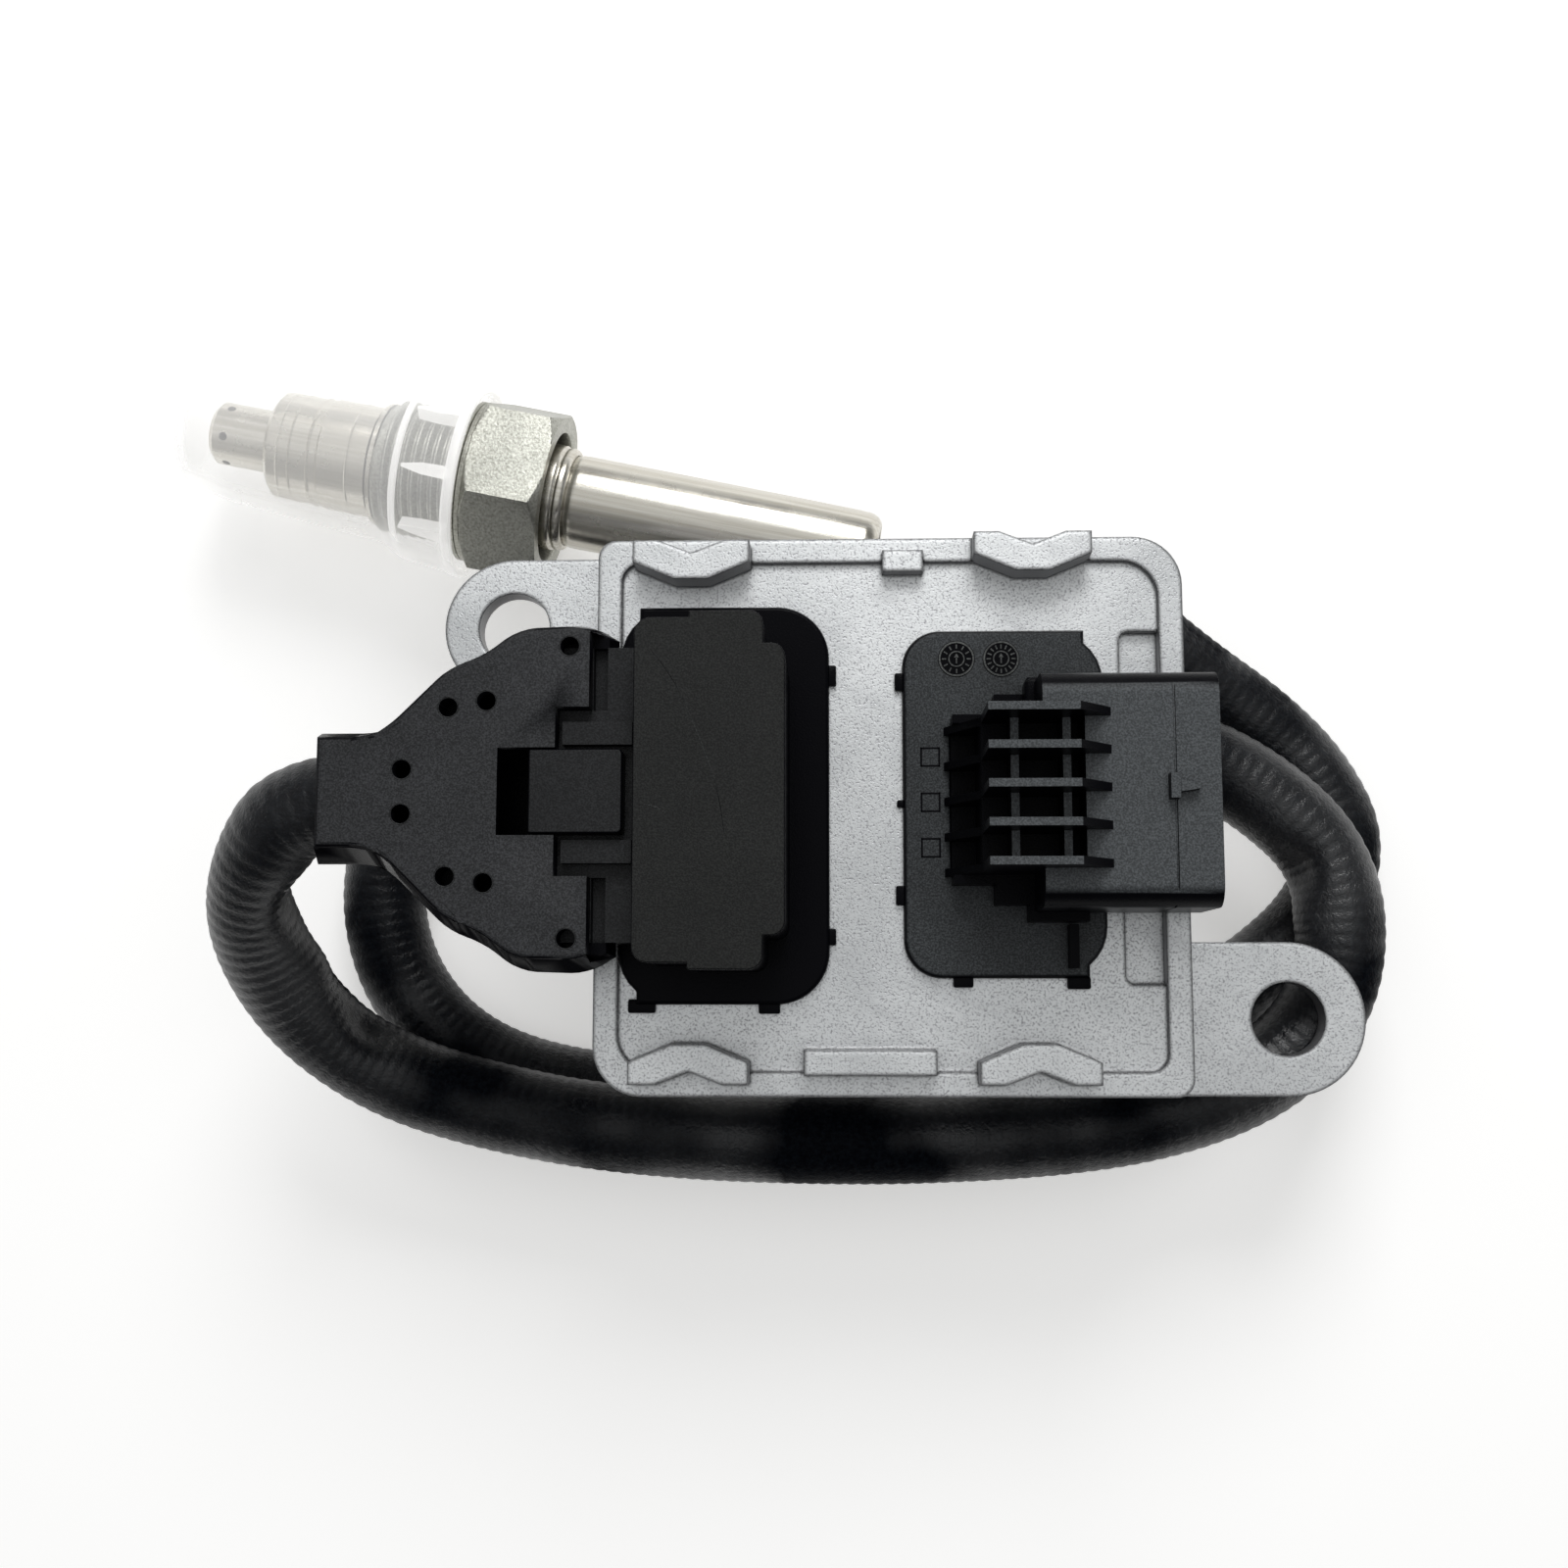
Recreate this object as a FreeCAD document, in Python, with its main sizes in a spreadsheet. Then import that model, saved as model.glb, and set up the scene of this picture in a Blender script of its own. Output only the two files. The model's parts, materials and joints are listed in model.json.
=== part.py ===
import FreeCAD, Part
import math
import os
import Sketcher
from FreeCAD import Vector

# Frame: X and Y as the unit is seen from above, Z up, millimetres. The origin is the midpoint
# between the two ear holes, on the underside of the ears, which is the mounting plane.

SIZES = {
    # die-cast housing
    "body_long": 78.0,
    "body_wide": 74.0,
    "body_centre_x": -0.8,
    "body_centre_y": -0.3,
    "rim_top": 16.0,
    "rim_band": 3.2,
    "panel_drop": 0.9,
    "panel_thick": 2.5,
    "housing_wall": 2.6,
    "corner_large": 6.5,
    "corner_small": 2.4,
    "tray_drop": 1.5,
    "tray_long": 5.2,
    "tray_wide": 46.8,
    "tray_shift": 0.4,
    "tray_corner": 1.2,
    "tray_gap": 3.2,
    # mounting ears
    "ear_x": 53.3,
    "ear_y": 27.35,
    "ear_hole_radius": 5.0,
    "ear_radius_left": 9.8,
    "ear_radius_right": 10.4,
    "ear_thick": 4.0,
    # raised rests on the rim, placed from the housing's middle
    "rest_rise": 4.0,
    "rest_half": 7.75,
    "rest_flat": 2.2,
    "rest_deep": 5.2,
    "rest_shoulder": 2.3,
    "rest_notch": 3.5,
    "rest_inner": 4.4,
    "rest_left_x": 26.2,
    "rest_right_x": 18.9,
    "rest_left_inset": 1.0,
    "rest_right_inset": 0.15,
    "rest_low_inset": 1.7,
    "bar_long": 17.0,
    "bar_wide": 3.2,
    "bar_x": -2.8,
    "bar_inset": 2.9,
    "stud_long": 5.4,
    "stud_wide": 2.9,
    "stud_x": 1.85,
    "stud_inset": 1.9,
    "stud_rise": 1.4,
    # base plate, gasket, screws, board
    "plate_lift": 0.2,
    "plate_thick": 1.6,
    "plate_gap": 0.2,
    "plate_corner": 3.0,
    "rebate_wall": 1.4,
    "gasket_thick": 0.8,
    "post_radius": 3.2,
    "post_inset": 6.2,
    "screw_radius": 1.5,
    "screw_hole_radius": 1.7,
    "screw_head_radius": 2.9,
    "screw_long": 8.0,
    "screw_drive_radius": 1.1,
    "screw_drive_deep": 1.0,
    "board_thick": 1.6,
    "board_top": 4.8,
    "board_gap": 1.0,
    "chip_side": 14.0,
    "chip_thick": 1.5,
    "driver_side": 6.5,
    "driver_thick": 1.8,
    "can_radius": 3.2,
    "can_from_edge": 20.0,
    "can_tall": 4.4,
    # both connectors share one centre line, and their flanges have the same outer corners
    "link_y": 1.0,
    "flange_thick": 1.6,
    "flange_cut": 2.4,
    "flange_tab": 1.7,
    "flange_arc": 6.5,
    "spigot_gap": 0.3,
    # sensor side header: places along x are measured from the housing's left face
    "tower_x": 7.0,
    "tower_long": 18.7,
    "tower_wall": 3.0,
    "tower_top": 34.0,
    "tower_step_x": 2.7,
    "tower_step_y": 4.1,
    "tower_corner": 1.7,
    "tower_front_long": 6.8,
    "tower_front_inset": 0.8,
    "tower_front_corner": 2.0,
    "left_flange_gap": 0.1,
    "left_flange_long": 27.7,
    "left_flange_reach": 4.3,
    "left_flange_corner": 7.0,
    "socket_low": 18.6,
    "socket_tall": 11.4,
    "socket_gap": 0.4,
    "socket_deep": 14.3,
    "pin_side": 0.8,
    "pin_pitch": 4.2,
    "pin_reach": 7.0,
    "pin_level": 23.2,
    "pin_leg_x": 1.9,
    # power header: places along x are measured from the housing's right face, inwards below zero
    "header_gap": 9.7,
    "power_flange_end": -10.8,
    "power_flange_half": 23.0,
    "power_flange_corner": 5.0,
    "elbow_x": -31.0,
    "elbow_half": 11.0,
    "elbow_top": 21.0,
    "elbow_step_x": -25.6,
    "elbow_step_half": 13.6,
    "collar_x": -21.3,
    "collar_long": 7.6,
    "collar_half": 15.8,
    "hump_top": 27.0,
    "spigot_x": -28.2,
    "spigot_long": 5.0,
    "shroud_x": -20.7,
    "shroud_end": 0.9,
    "shroud_half": 14.6,
    "shroud_low": 17.2,
    "shroud_top": 33.2,
    "shroud_corner": 3.0,
    "shroud_foot_corner": 0.8,
    "shroud_wall": 2.0,
    "shroud_deep": 15.1,
    "seam_x": -4.8,
    "seam_wide": 0.25,
    "seam_deep": 0.25,
    "rib_top": 38.2,
    "rib_thick": 1.05,
    "rib_pitch": 4.66,
    "rib_start": -27.8,
    "rib_foot_x": -31.9,
    "rib_flat_end": -16.7,
    "rib_end": -12.4,
    "rib_pocket_end": -15.6,
    "cell_low": 16.4,
    "cross_rib_drop": 6.0,
    "cross_rib_a": -24.1,
    "cross_rib_b": -17.7,
    "knob_x": -5.6,
    "knob_long": 1.2,
    "knob_wide": 3.1,
    "knob_rise": 1.7,
    "wedge_long": 2.5,
    "fin_x": -16.1,
    "fin_wide": 1.2,
    "fin_near": 16.1,
    "fin_far": 21.7,
    "fin_rise": 2.4,
    "blade_wide": 2.2,
    "blade_thick": 0.8,
    "blade_pitch": 4.2,
    "blade_reach": 9.0,
    "blade_level": 24.8,
    "blade_leg_x": -26.0,
    "header_seal_wide": 1.4,
    "header_seal_thick": 0.8,
    # plug on the sensor side: places along x are measured from the housing's left face
    "shell_top": 31.0,
    "shell_tall": 15.5,
    "shell_front_x": 3.9,
    "shell_rear_x": -34.7,
    "shell_rear_half": 8.5,
    "shell_wall": 2.0,
    "shell_taper": 12.0,
    "shell_lip_x": 1.1,
    "shell_shelf": 27.0,
    "shell_foot_x": -0.5,
    "shell_foot_gap": 0.4,
    "boss_end_x": -27.0,
    "boss_top_x": -25.4,
    "knee_low_x": -17.4,
    "knee_low_inset": 1.5,
    "knee_high_x": -13.4,
    "knee_high_inset": 0.3,
    "hip_x": -8.4,
    "hip_reach": 3.5,
    "cheek_x": 0.4,
    "cheek_reach": 3.8,
    "nose_drop": 2.1,
    "notch_x": -3.1,
    "notch_half": 10.6,
    "slot_half": 5.5,
    "slot_end_x": -10.3,
    "peg_hole_radius": 1.2,
    "peg_hole_deep": 4.5,
    "peg_front_x": -1.4,
    "peg_front_inset": 0.4,
    "peg_hip_x": -11.8,
    "peg_hip_half": 11.4,
    "peg_knee_x": -16.6,
    "peg_knee_half": 10.6,
    "peg_rear_x": -22.3,
    "peg_rear_half": 2.8,
    "plug_rear_x": -6.6,
    "plug_nose_x": 19.6,
    "plug_half": 18.7,
    "plug_low": 19.0,
    "plug_top": 27.6,
    "plug_groove_x": 1.2,
    "plug_groove_long": 1.8,
    "plug_groove_deep": 2.0,
    "rail_inner": 6.0,
    "rail_outer": 8.9,
    "rail_rise": 2.0,
    "rail_x": -2.4,
    "rail_long": 8.8,
    "latch_front_x": 5.4,
    "latch_long": 11.8,
    "latch_side_gap": 0.2,
    "latch_lift": 0.2,
    "foot_stem_half": 2.0,
    "foot_half": 3.5,
    "foot_gap": 0.3,
    "foot_low": 25.0,
    "foot_thick": 1.0,
    "foot_long": 9.0,
    "plug_seal_x": 14.3,
    "plug_seal_long": 2.2,
    "plug_seal_deep": 0.8,
    "terminal_long": 13.0,
    "terminal_side": 2.0,
    # conduit
    "conduit_radius": 6.25,
    "conduit_level": 23.0,
    "conduit_hidden": 8.2,
    "conduit_grip_gap": 0.25,
    # exhaust probe, measured along its own axis from the rear face of the gland nut
    "probe_x": -50.0,
    "probe_y": 50.4,
    "probe_z": -10.4,
    "probe_turn": -11.7,
    "hex_across": 24.0,
    "hex_long": 11.5,
    "hex_turn": 10.0,
    "hex_bevel": 1.3,
    "nut_bore_radius": 7.5,
    "nut_recess_radius": 9.6,
    "nut_recess_deep": 4.0,
    "thread_radius": 10.0,
    "thread_long": 12.4,
    "neck_radius": 9.2,
    "neck_long": 2.0,
    "washer_face_radius": 12.2,
    "washer_face_long": 1.6,
    "nut_gap": 0.2,
    "shell_radius": 7.1,
    "shell_bore": 5.9,
    "shoulder_radius": 9.2,
    "shoulder_long": 1.2,
    "guard_radius": 8.3,
    "guard_long": 7.7,
    "guard_mid_radius": 8.0,
    "guard_mid_long": 8.3,
    "guard_tip_radius": 4.7,
    "guard_tip_long": 9.8,
    "guard_wall": 0.5,
    "guard_hole_radius": 0.9,
    "guard_mouth_radius": 1.5,
    "inner_guard_gap": 0.9,
    "inner_guard_wall": 0.4,
    "element_wide": 4.2,
    "element_thick": 1.2,
    "element_tip": 47.0,
    "element_tail": 22.0,
    "bush_gap": 0.1,
    "bush_long": 14.0,
    "powder_long": 6.0,
    "bead_radius": 7.9,
    "bead_start": 1.7,
    "bead_end": 2.5,
    "sleeve_radius": 6.8,
    "sleeve_wall": 0.6,
    "sleeve_end": 49.0,
    "sleeve_roll": 1.6,
    "sleeve_roll_deep": 1.3,
    "grommet_grip": 8.0,
    "grommet_neck": 3.1,
    "grommet_end": 70.5,
    "grommet_rim": 1.5,
    "grommet_radius": 7.2,
    "contact_radius": 5.6,
    "contact_long": 14.0,
    # transport cap
    "cap_wall": 1.2,
    "cap_end": 57.3,
    "cap_end_radius": 8.6,
    "cap_cone_x": 49.0,
    "cap_cone_radius": 10.3,
    "cap_flare_x": 24.6,
    "cap_flare_radius": 11.5,
    "cap_bell_x": 21.0,
    "cap_bell_radius": 13.5,
    "cap_mouth_x": 12.0,
    "cap_mouth_radius": 14.6,
    "fin_thick": 1.0,
    "fin_gap": 0.15,
}

# The conduit lies as it was photographed: out of the plug to the left, round under the front edge
# of the housing, over itself beside the right ear, back under the housing, round behind the plug,
# under the first stretch and out to the right again, then into the tail of the probe.
# The lower stretches lie on the surface below, the upper ones lie on them, under the housing.
UPPER = -6.5
LOWER = -19.25
ROUTE = [
    (-66.3, 1.0, 23.0),
    (-77.6, 1.0, 23.0),
    (-84.2, -6.9, 18.0),
    (-87.4, -15.3, 9.5),
    (-83.5, -26.0, 0.5),
    (-73.5, -34.5, -5.0),
    (-60.0, -39.3, UPPER),
    (-40.0, -43.2, UPPER),
    (-8.0, -44.8, UPPER),
    (24.0, -43.4, UPPER),
    (42.0, -39.8, UPPER),
    (54.5, -34.0, UPPER),
    (62.3, -24.6, UPPER),
    (64.2, -13.0, UPPER),
    (61.4, -3.2, UPPER),
    (53.6, 4.6, UPPER),
    (43.0, 10.6, UPPER),
    (25.0, 15.6, -7.5),
    (0.0, 18.6, -12.5),
    (-25.0, 20.0, -17.0),
    (-47.0, 19.6, LOWER),
    (-62.5, 15.5, LOWER),
    (-73.5, 6.0, LOWER),
    (-77.5, -7.0, LOWER),
    (-75.0, -20.0, LOWER),
    (-67.0, -30.5, LOWER),
    (-55.0, -36.8, LOWER),
    (-37.0, -39.6, LOWER),
    (-8.5, -39.2, LOWER),
    (18.0, -36.2, LOWER),
    (39.0, -29.8, LOWER),
    (54.0, -21.4, LOWER),
    (64.4, -12.2, LOWER),
    (68.2, -1.4, LOWER),
    (63.9, 8.4, LOWER),
    (56.6, 16.4, LOWER),
    (45.0, 24.2, -17.0),
]
CORNER_SHARE = 0.45
LEAD_IN = 13.0


class Size:
    """A number together with the text that works it out in the sheet."""

    def __init__(self, value, text):
        self.value = float(value)
        self.text = text

    @staticmethod
    def of(other):
        if isinstance(other, Size):
            return other
        return Size(other, f"{other:.6g}")

    def __add__(self, other):
        other = Size.of(other)
        return Size(self.value + other.value, f"({self.text} + {other.text})")

    def __radd__(self, other):
        return Size.of(other) + self

    def __sub__(self, other):
        other = Size.of(other)
        return Size(self.value - other.value, f"({self.text} - {other.text})")

    def __rsub__(self, other):
        return Size.of(other) - self

    def __mul__(self, other):
        other = Size.of(other)
        return Size(self.value * other.value, f"({self.text} * {other.text})")

    def __rmul__(self, other):
        return Size.of(other) * self

    def __truediv__(self, other):
        other = Size.of(other)
        return Size(self.value / other.value, f"({self.text} / {other.text})")

    def __neg__(self):
        return Size(-self.value, f"(0 - {self.text})")


class Names:
    """The sheet's aliases as attributes."""


DOC = FreeCAD.newDocument("ExhaustGasSensor")
SHEET = DOC.addObject("Spreadsheet::Sheet", "Sizes")
P = Names()
NODES = []


def fill_sheet():
    for row, (name, value) in enumerate(SIZES.items(), start=1):
        SHEET.set(f"A{row}", name)
        SHEET.set(f"B{row}", f"{value:g}")
        SHEET.setAlias(f"B{row}", name)
        setattr(P, name, Size(value, f"Sizes.{name}"))
    DOC.recompute()


# Sizes that the sheet gives as a distance from the housing's left or right face
FROM_LEFT_FACE = (
    "tower_x", "shell_front_x", "shell_rear_x", "shell_lip_x", "shell_foot_x",
    "boss_end_x", "boss_top_x", "knee_low_x", "knee_high_x", "hip_x", "cheek_x", "notch_x",
    "slot_end_x", "peg_front_x", "peg_hip_x", "peg_knee_x", "peg_rear_x", "plug_rear_x",
    "plug_nose_x", "plug_groove_x", "rail_x", "latch_front_x", "plug_seal_x",
)
FROM_RIGHT_FACE = (
    "power_flange_end", "elbow_x", "elbow_step_x", "collar_x", "spigot_x", "shroud_x",
    "shroud_end", "seam_x", "rib_start", "rib_foot_x", "rib_flat_end", "rib_end",
    "rib_pocket_end", "cross_rib_a", "cross_rib_b", "knob_x", "fin_x", "blade_leg_x",
)


def derived_sizes():
    """Places that several pieces share."""
    P.left_x = P.body_centre_x - P.body_long / 2
    P.right_x = P.body_centre_x + P.body_long / 2
    for face, names in ((P.left_x, FROM_LEFT_FACE), (P.right_x, FROM_RIGHT_FACE)):
        for name in names:
            setattr(P, name, face + getattr(P, name))
    P.low_y = P.body_centre_y - P.body_wide / 2
    P.high_y = P.body_centre_y + P.body_wide / 2
    P.panel_top = P.rim_top - P.panel_drop
    P.panel_under = P.panel_top - P.panel_thick
    P.plate_top = P.plate_lift + P.plate_thick
    P.flange_top = P.panel_top + P.flange_thick
    P.left_flange_x = P.left_x + P.rim_band + P.left_flange_gap
    P.power_flange_x = P.left_flange_x + P.left_flange_long + P.header_gap
    P.socket_half = P.plug_half + P.socket_gap
    P.tower_half = P.socket_half + P.tower_wall
    P.left_flange_half = P.tower_half + P.left_flange_reach
    P.cheek_half = P.plug_half + P.cheek_reach
    P.hip_half = P.plug_half + P.hip_reach
    P.knee_high_half = P.plug_half - P.knee_high_inset
    P.knee_low_half = P.plug_half - P.knee_low_inset
    P.shell_mid = P.shell_top - P.shell_tall / 2
    P.shell_low = P.shell_top - P.shell_tall
    P.thread_end = P.hex_long + P.neck_long + P.thread_long
    P.shoulder_x = -(P.thread_end + P.nut_gap)
    P.guard_start = P.shoulder_x - P.shoulder_long
    P.guard_tip_x = P.guard_start - P.guard_long - P.guard_mid_long - P.guard_tip_long


# Building blocks

def bind(thing, path, size):
    thing.setExpression(path, Size.of(size).text)


def keep(thing, label):
    """Names a finished sub-part: its label is also its file's name."""
    thing.Label = label
    NODES.append(thing)
    return thing


def new_body(name, at_probe=False):
    body = DOC.addObject("PartDesign::Body", name)
    if at_probe:
        place_at_probe(body)
    return body


def place_at_probe(thing):
    bind(thing, "Placement.Base.x", P.probe_x)
    bind(thing, "Placement.Base.y", P.probe_y)
    bind(thing, "Placement.Base.z", P.probe_z)
    bind(thing, "Placement.Rotation.Angle", P.probe_turn)


def new_sketch(body, plane, lift=None):
    sketch = body.newObject("Sketcher::SketchObject", body.Name + "Sketch")
    support = next(item for item in body.Origin.OriginFeatures if item.Role == plane)
    sketch.AttachmentSupport = [(support, "")]
    sketch.MapMode = "FlatFace"
    if lift is not None:
        bind(sketch, "AttachmentOffset.Base.z", lift)
    return sketch


def fix_point(sketch, piece, end, place):
    for kind, size in zip(("DistanceX", "DistanceY"), place):
        size = Size.of(size)
        index = sketch.addConstraint(Sketcher.Constraint(kind, piece, end, size.value))
        bind(sketch, f"Constraints[{index}]", size)


def draw_polygon(sketch, corners):
    first = sketch.GeometryCount
    count = len(corners)
    points = [Vector(Size.of(x).value, Size.of(y).value, 0) for x, y in corners]
    for index in range(count):
        line = Part.LineSegment(points[index], points[(index + 1) % count])
        sketch.addGeometry(line, False)
    for index in range(count):
        after = first + (index + 1) % count
        sketch.addConstraint(Sketcher.Constraint("Coincident", first + index, 2, after, 1))
    for index, corner in enumerate(corners):
        fix_point(sketch, first + index, 1, corner)


def draw_circle(sketch, x, y, radius):
    x, y, radius = Size.of(x), Size.of(y), Size.of(radius)
    circle = Part.Circle(Vector(x.value, y.value, 0), Vector(0, 0, 1), radius.value)
    piece = sketch.addGeometry(circle, False)
    index = sketch.addConstraint(Sketcher.Constraint("Radius", piece, radius.value))
    bind(sketch, f"Constraints[{index}]", radius)
    fix_point(sketch, piece, 3, (x, y))


def rectangle(x_low, x_high, y_low, y_high):
    return [(x_low, y_low), (x_high, y_low), (x_high, y_high), (x_low, y_high)]


def raise_pad(body, sketch, length, taper=None):
    pad = body.newObject("PartDesign::Pad", body.Name + "Pad")
    pad.Profile = sketch
    bind(pad, "Length", length)
    if taper is not None:
        bind(pad, "TaperAngle", taper)
    sketch.Visibility = False
    return pad


def sink_pocket(body, sketch, depth):
    """Cuts from the sketch's plane against its normal, and checks that something went."""
    DOC.recompute()
    before = body.Shape.Volume
    pocket = body.newObject("PartDesign::Pocket", body.Name + "Pocket")
    pocket.Profile = sketch
    bind(pocket, "Length", depth)
    DOC.recompute()
    if body.Shape.Volume >= before:
        raise RuntimeError(f"{body.Name}: {pocket.Name} removes nothing")
    return pocket


def add_prism(body, corners, low, high, taper=None):
    sketch = new_sketch(body, "XY_Plane", low)
    draw_polygon(sketch, corners)
    return raise_pad(body, sketch, high - low, taper)


def cut_prism(body, corners, low, high):
    sketch = new_sketch(body, "XY_Plane", high)
    draw_polygon(sketch, corners)
    return sink_pocket(body, sketch, high - low)


def add_plate(body, profile, y, thick):
    """A flat piece whose outline is drawn in side view, (x, z), with its middle at y."""
    sketch = new_sketch(body, "XZ_Plane", -y)
    draw_polygon(sketch, profile)
    pad = raise_pad(body, sketch, thick)
    pad.Midplane = True
    return pad


def add_discs(body, places, radius, low, high):
    sketch = new_sketch(body, "XY_Plane", low)
    for x, y in places:
        draw_circle(sketch, x, y, radius)
    return raise_pad(body, sketch, high - low)


def cut_discs(body, places, radius, low, high):
    sketch = new_sketch(body, "XY_Plane", high)
    for x, y in places:
        draw_circle(sketch, x, y, radius)
    return sink_pocket(body, sketch, high - low)


def revolve(body, corners, kind="PartDesign::Revolution"):
    """Turns a half section about the body's own X axis."""
    sketch = new_sketch(body, "XY_Plane")
    draw_polygon(sketch, corners)
    turned = body.newObject(kind, body.Name + "Turned")
    turned.Profile = sketch
    turned.ReferenceAxis = (sketch, ["H_Axis"])
    turned.Angle = 360
    return turned


def find_edges(shape, fits):
    """The names of the edges whose two ends both satisfy the test."""
    found = []
    for number, edge in enumerate(shape.Edges, start=1):
        ends = [vertex.Point for vertex in edge.Vertexes]
        if fits(edge, ends):
            found.append(f"Edge{number}")
    return found


def upright_at(places):
    """A test for vertical edges that stand at one of the given places in plan."""
    spots = [(Size.of(x).value, Size.of(y).value) for x, y in places]

    def fits(edge, ends):
        if len(ends) != 2 or abs(ends[0].z - ends[1].z) < 0.1:
            return False
        return any(all(math.hypot(end.x - x, end.y - y) < 0.01 for end in ends) for x, y in spots)

    return fits


def lengthwise_at(places):
    """A test for edges along X that lie at one of the given places in section."""
    spots = [(Size.of(y).value, Size.of(z).value) for y, z in places]

    def fits(edge, ends):
        if len(ends) != 2 or abs(ends[0].x - ends[1].x) < 0.1:
            return False
        return any(all(math.hypot(end.y - y, end.z - z) < 0.01 for end in ends) for y, z in spots)

    return fits


def dress(body, fits, size, kind="PartDesign::Fillet"):
    DOC.recompute()
    base = body.Tip
    edges = find_edges(base.Shape, fits)
    if not edges:
        raise RuntimeError(f"{body.Name}: no edge to dress")
    dressed = body.newObject(kind, body.Name + "Edge")
    dressed.Base = (base, edges)
    bind(dressed, "Radius" if kind.endswith("Fillet") else "Size", size)
    return dressed


def make_box(x_low, x_high, y_low, y_high, z_low, z_high):
    box = DOC.addObject("Part::Box", "Block")
    bind(box, "Length", x_high - x_low)
    bind(box, "Width", y_high - y_low)
    bind(box, "Height", z_high - z_low)
    bind(box, "Placement.Base.x", x_low)
    bind(box, "Placement.Base.y", y_low)
    bind(box, "Placement.Base.z", z_low)
    return box


def make_rod(x, y, low, high, radius):
    rod = DOC.addObject("Part::Cylinder", "Rod")
    bind(rod, "Radius", radius)
    bind(rod, "Height", high - low)
    bind(rod, "Placement.Base.x", x)
    bind(rod, "Placement.Base.y", y)
    bind(rod, "Placement.Base.z", low)
    return rod


def make_cone(x, y, low, high, radius_low, radius_high):
    cone = DOC.addObject("Part::Cone", "Cone")
    bind(cone, "Radius1", radius_low)
    bind(cone, "Radius2", radius_high)
    bind(cone, "Height", high - low)
    bind(cone, "Placement.Base.x", x)
    bind(cone, "Placement.Base.y", y)
    bind(cone, "Placement.Base.z", low)
    return cone


def join(pieces):
    fused = DOC.addObject("Part::MultiFuse", "Joined")
    fused.Shapes = pieces
    fused.Refine = True
    return fused


def remove(base, tool):
    cut = DOC.addObject("Part::Cut", "Trimmed")
    cut.Base = base
    cut.Tool = tool
    return cut


def group(pieces):
    compound = DOC.addObject("Part::Compound", "Group")
    compound.Links = pieces
    return compound


# Housing and what closes it

def mirrored(points, x, y, up):
    """Places an outline drawn about a centre line, pointing up or down."""
    return [(x + u, y + v * up) for u, v in points]


def rest_outline():
    """Half arrow shape of the raised rests, its flat nose at zero, its legs above."""
    return [
        (-P.rest_flat, 0),
        (P.rest_flat, 0),
        (P.rest_half, P.rest_shoulder),
        (P.rest_half, P.rest_deep),
        (P.rest_inner, P.rest_deep),
        (0, P.rest_notch),
        (-P.rest_inner, P.rest_deep),
        (-P.rest_half, P.rest_deep),
        (-P.rest_half, P.rest_shoulder),
    ]


def post_places():
    inset = P.post_inset
    return [
        (P.left_x + inset, P.low_y + inset),
        (P.right_x - inset, P.low_y + inset),
        (P.right_x - inset, P.high_y - inset),
        (P.left_x + inset, P.high_y - inset),
    ]


def add_ears(body):
    ears = [
        (-P.ear_x, P.ear_y, P.ear_radius_left, P.left_x + P.housing_wall),
        (P.ear_x, -P.ear_y, P.ear_radius_right, P.right_x - P.housing_wall),
    ]
    for x, y, radius, root in ears:
        add_discs(body, [(x, y)], radius, Size.of(0), P.ear_thick)
        low, high = (x, root) if x.value < root.value else (root, x)
        add_prism(body, rectangle(low, high, y - radius, y + radius), Size.of(0), P.ear_thick)
    for x, y, radius, root in ears:
        cut_discs(body, [(x, y)], P.ear_hole_radius, Size.of(0) - 1, P.ear_thick + 1)


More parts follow.
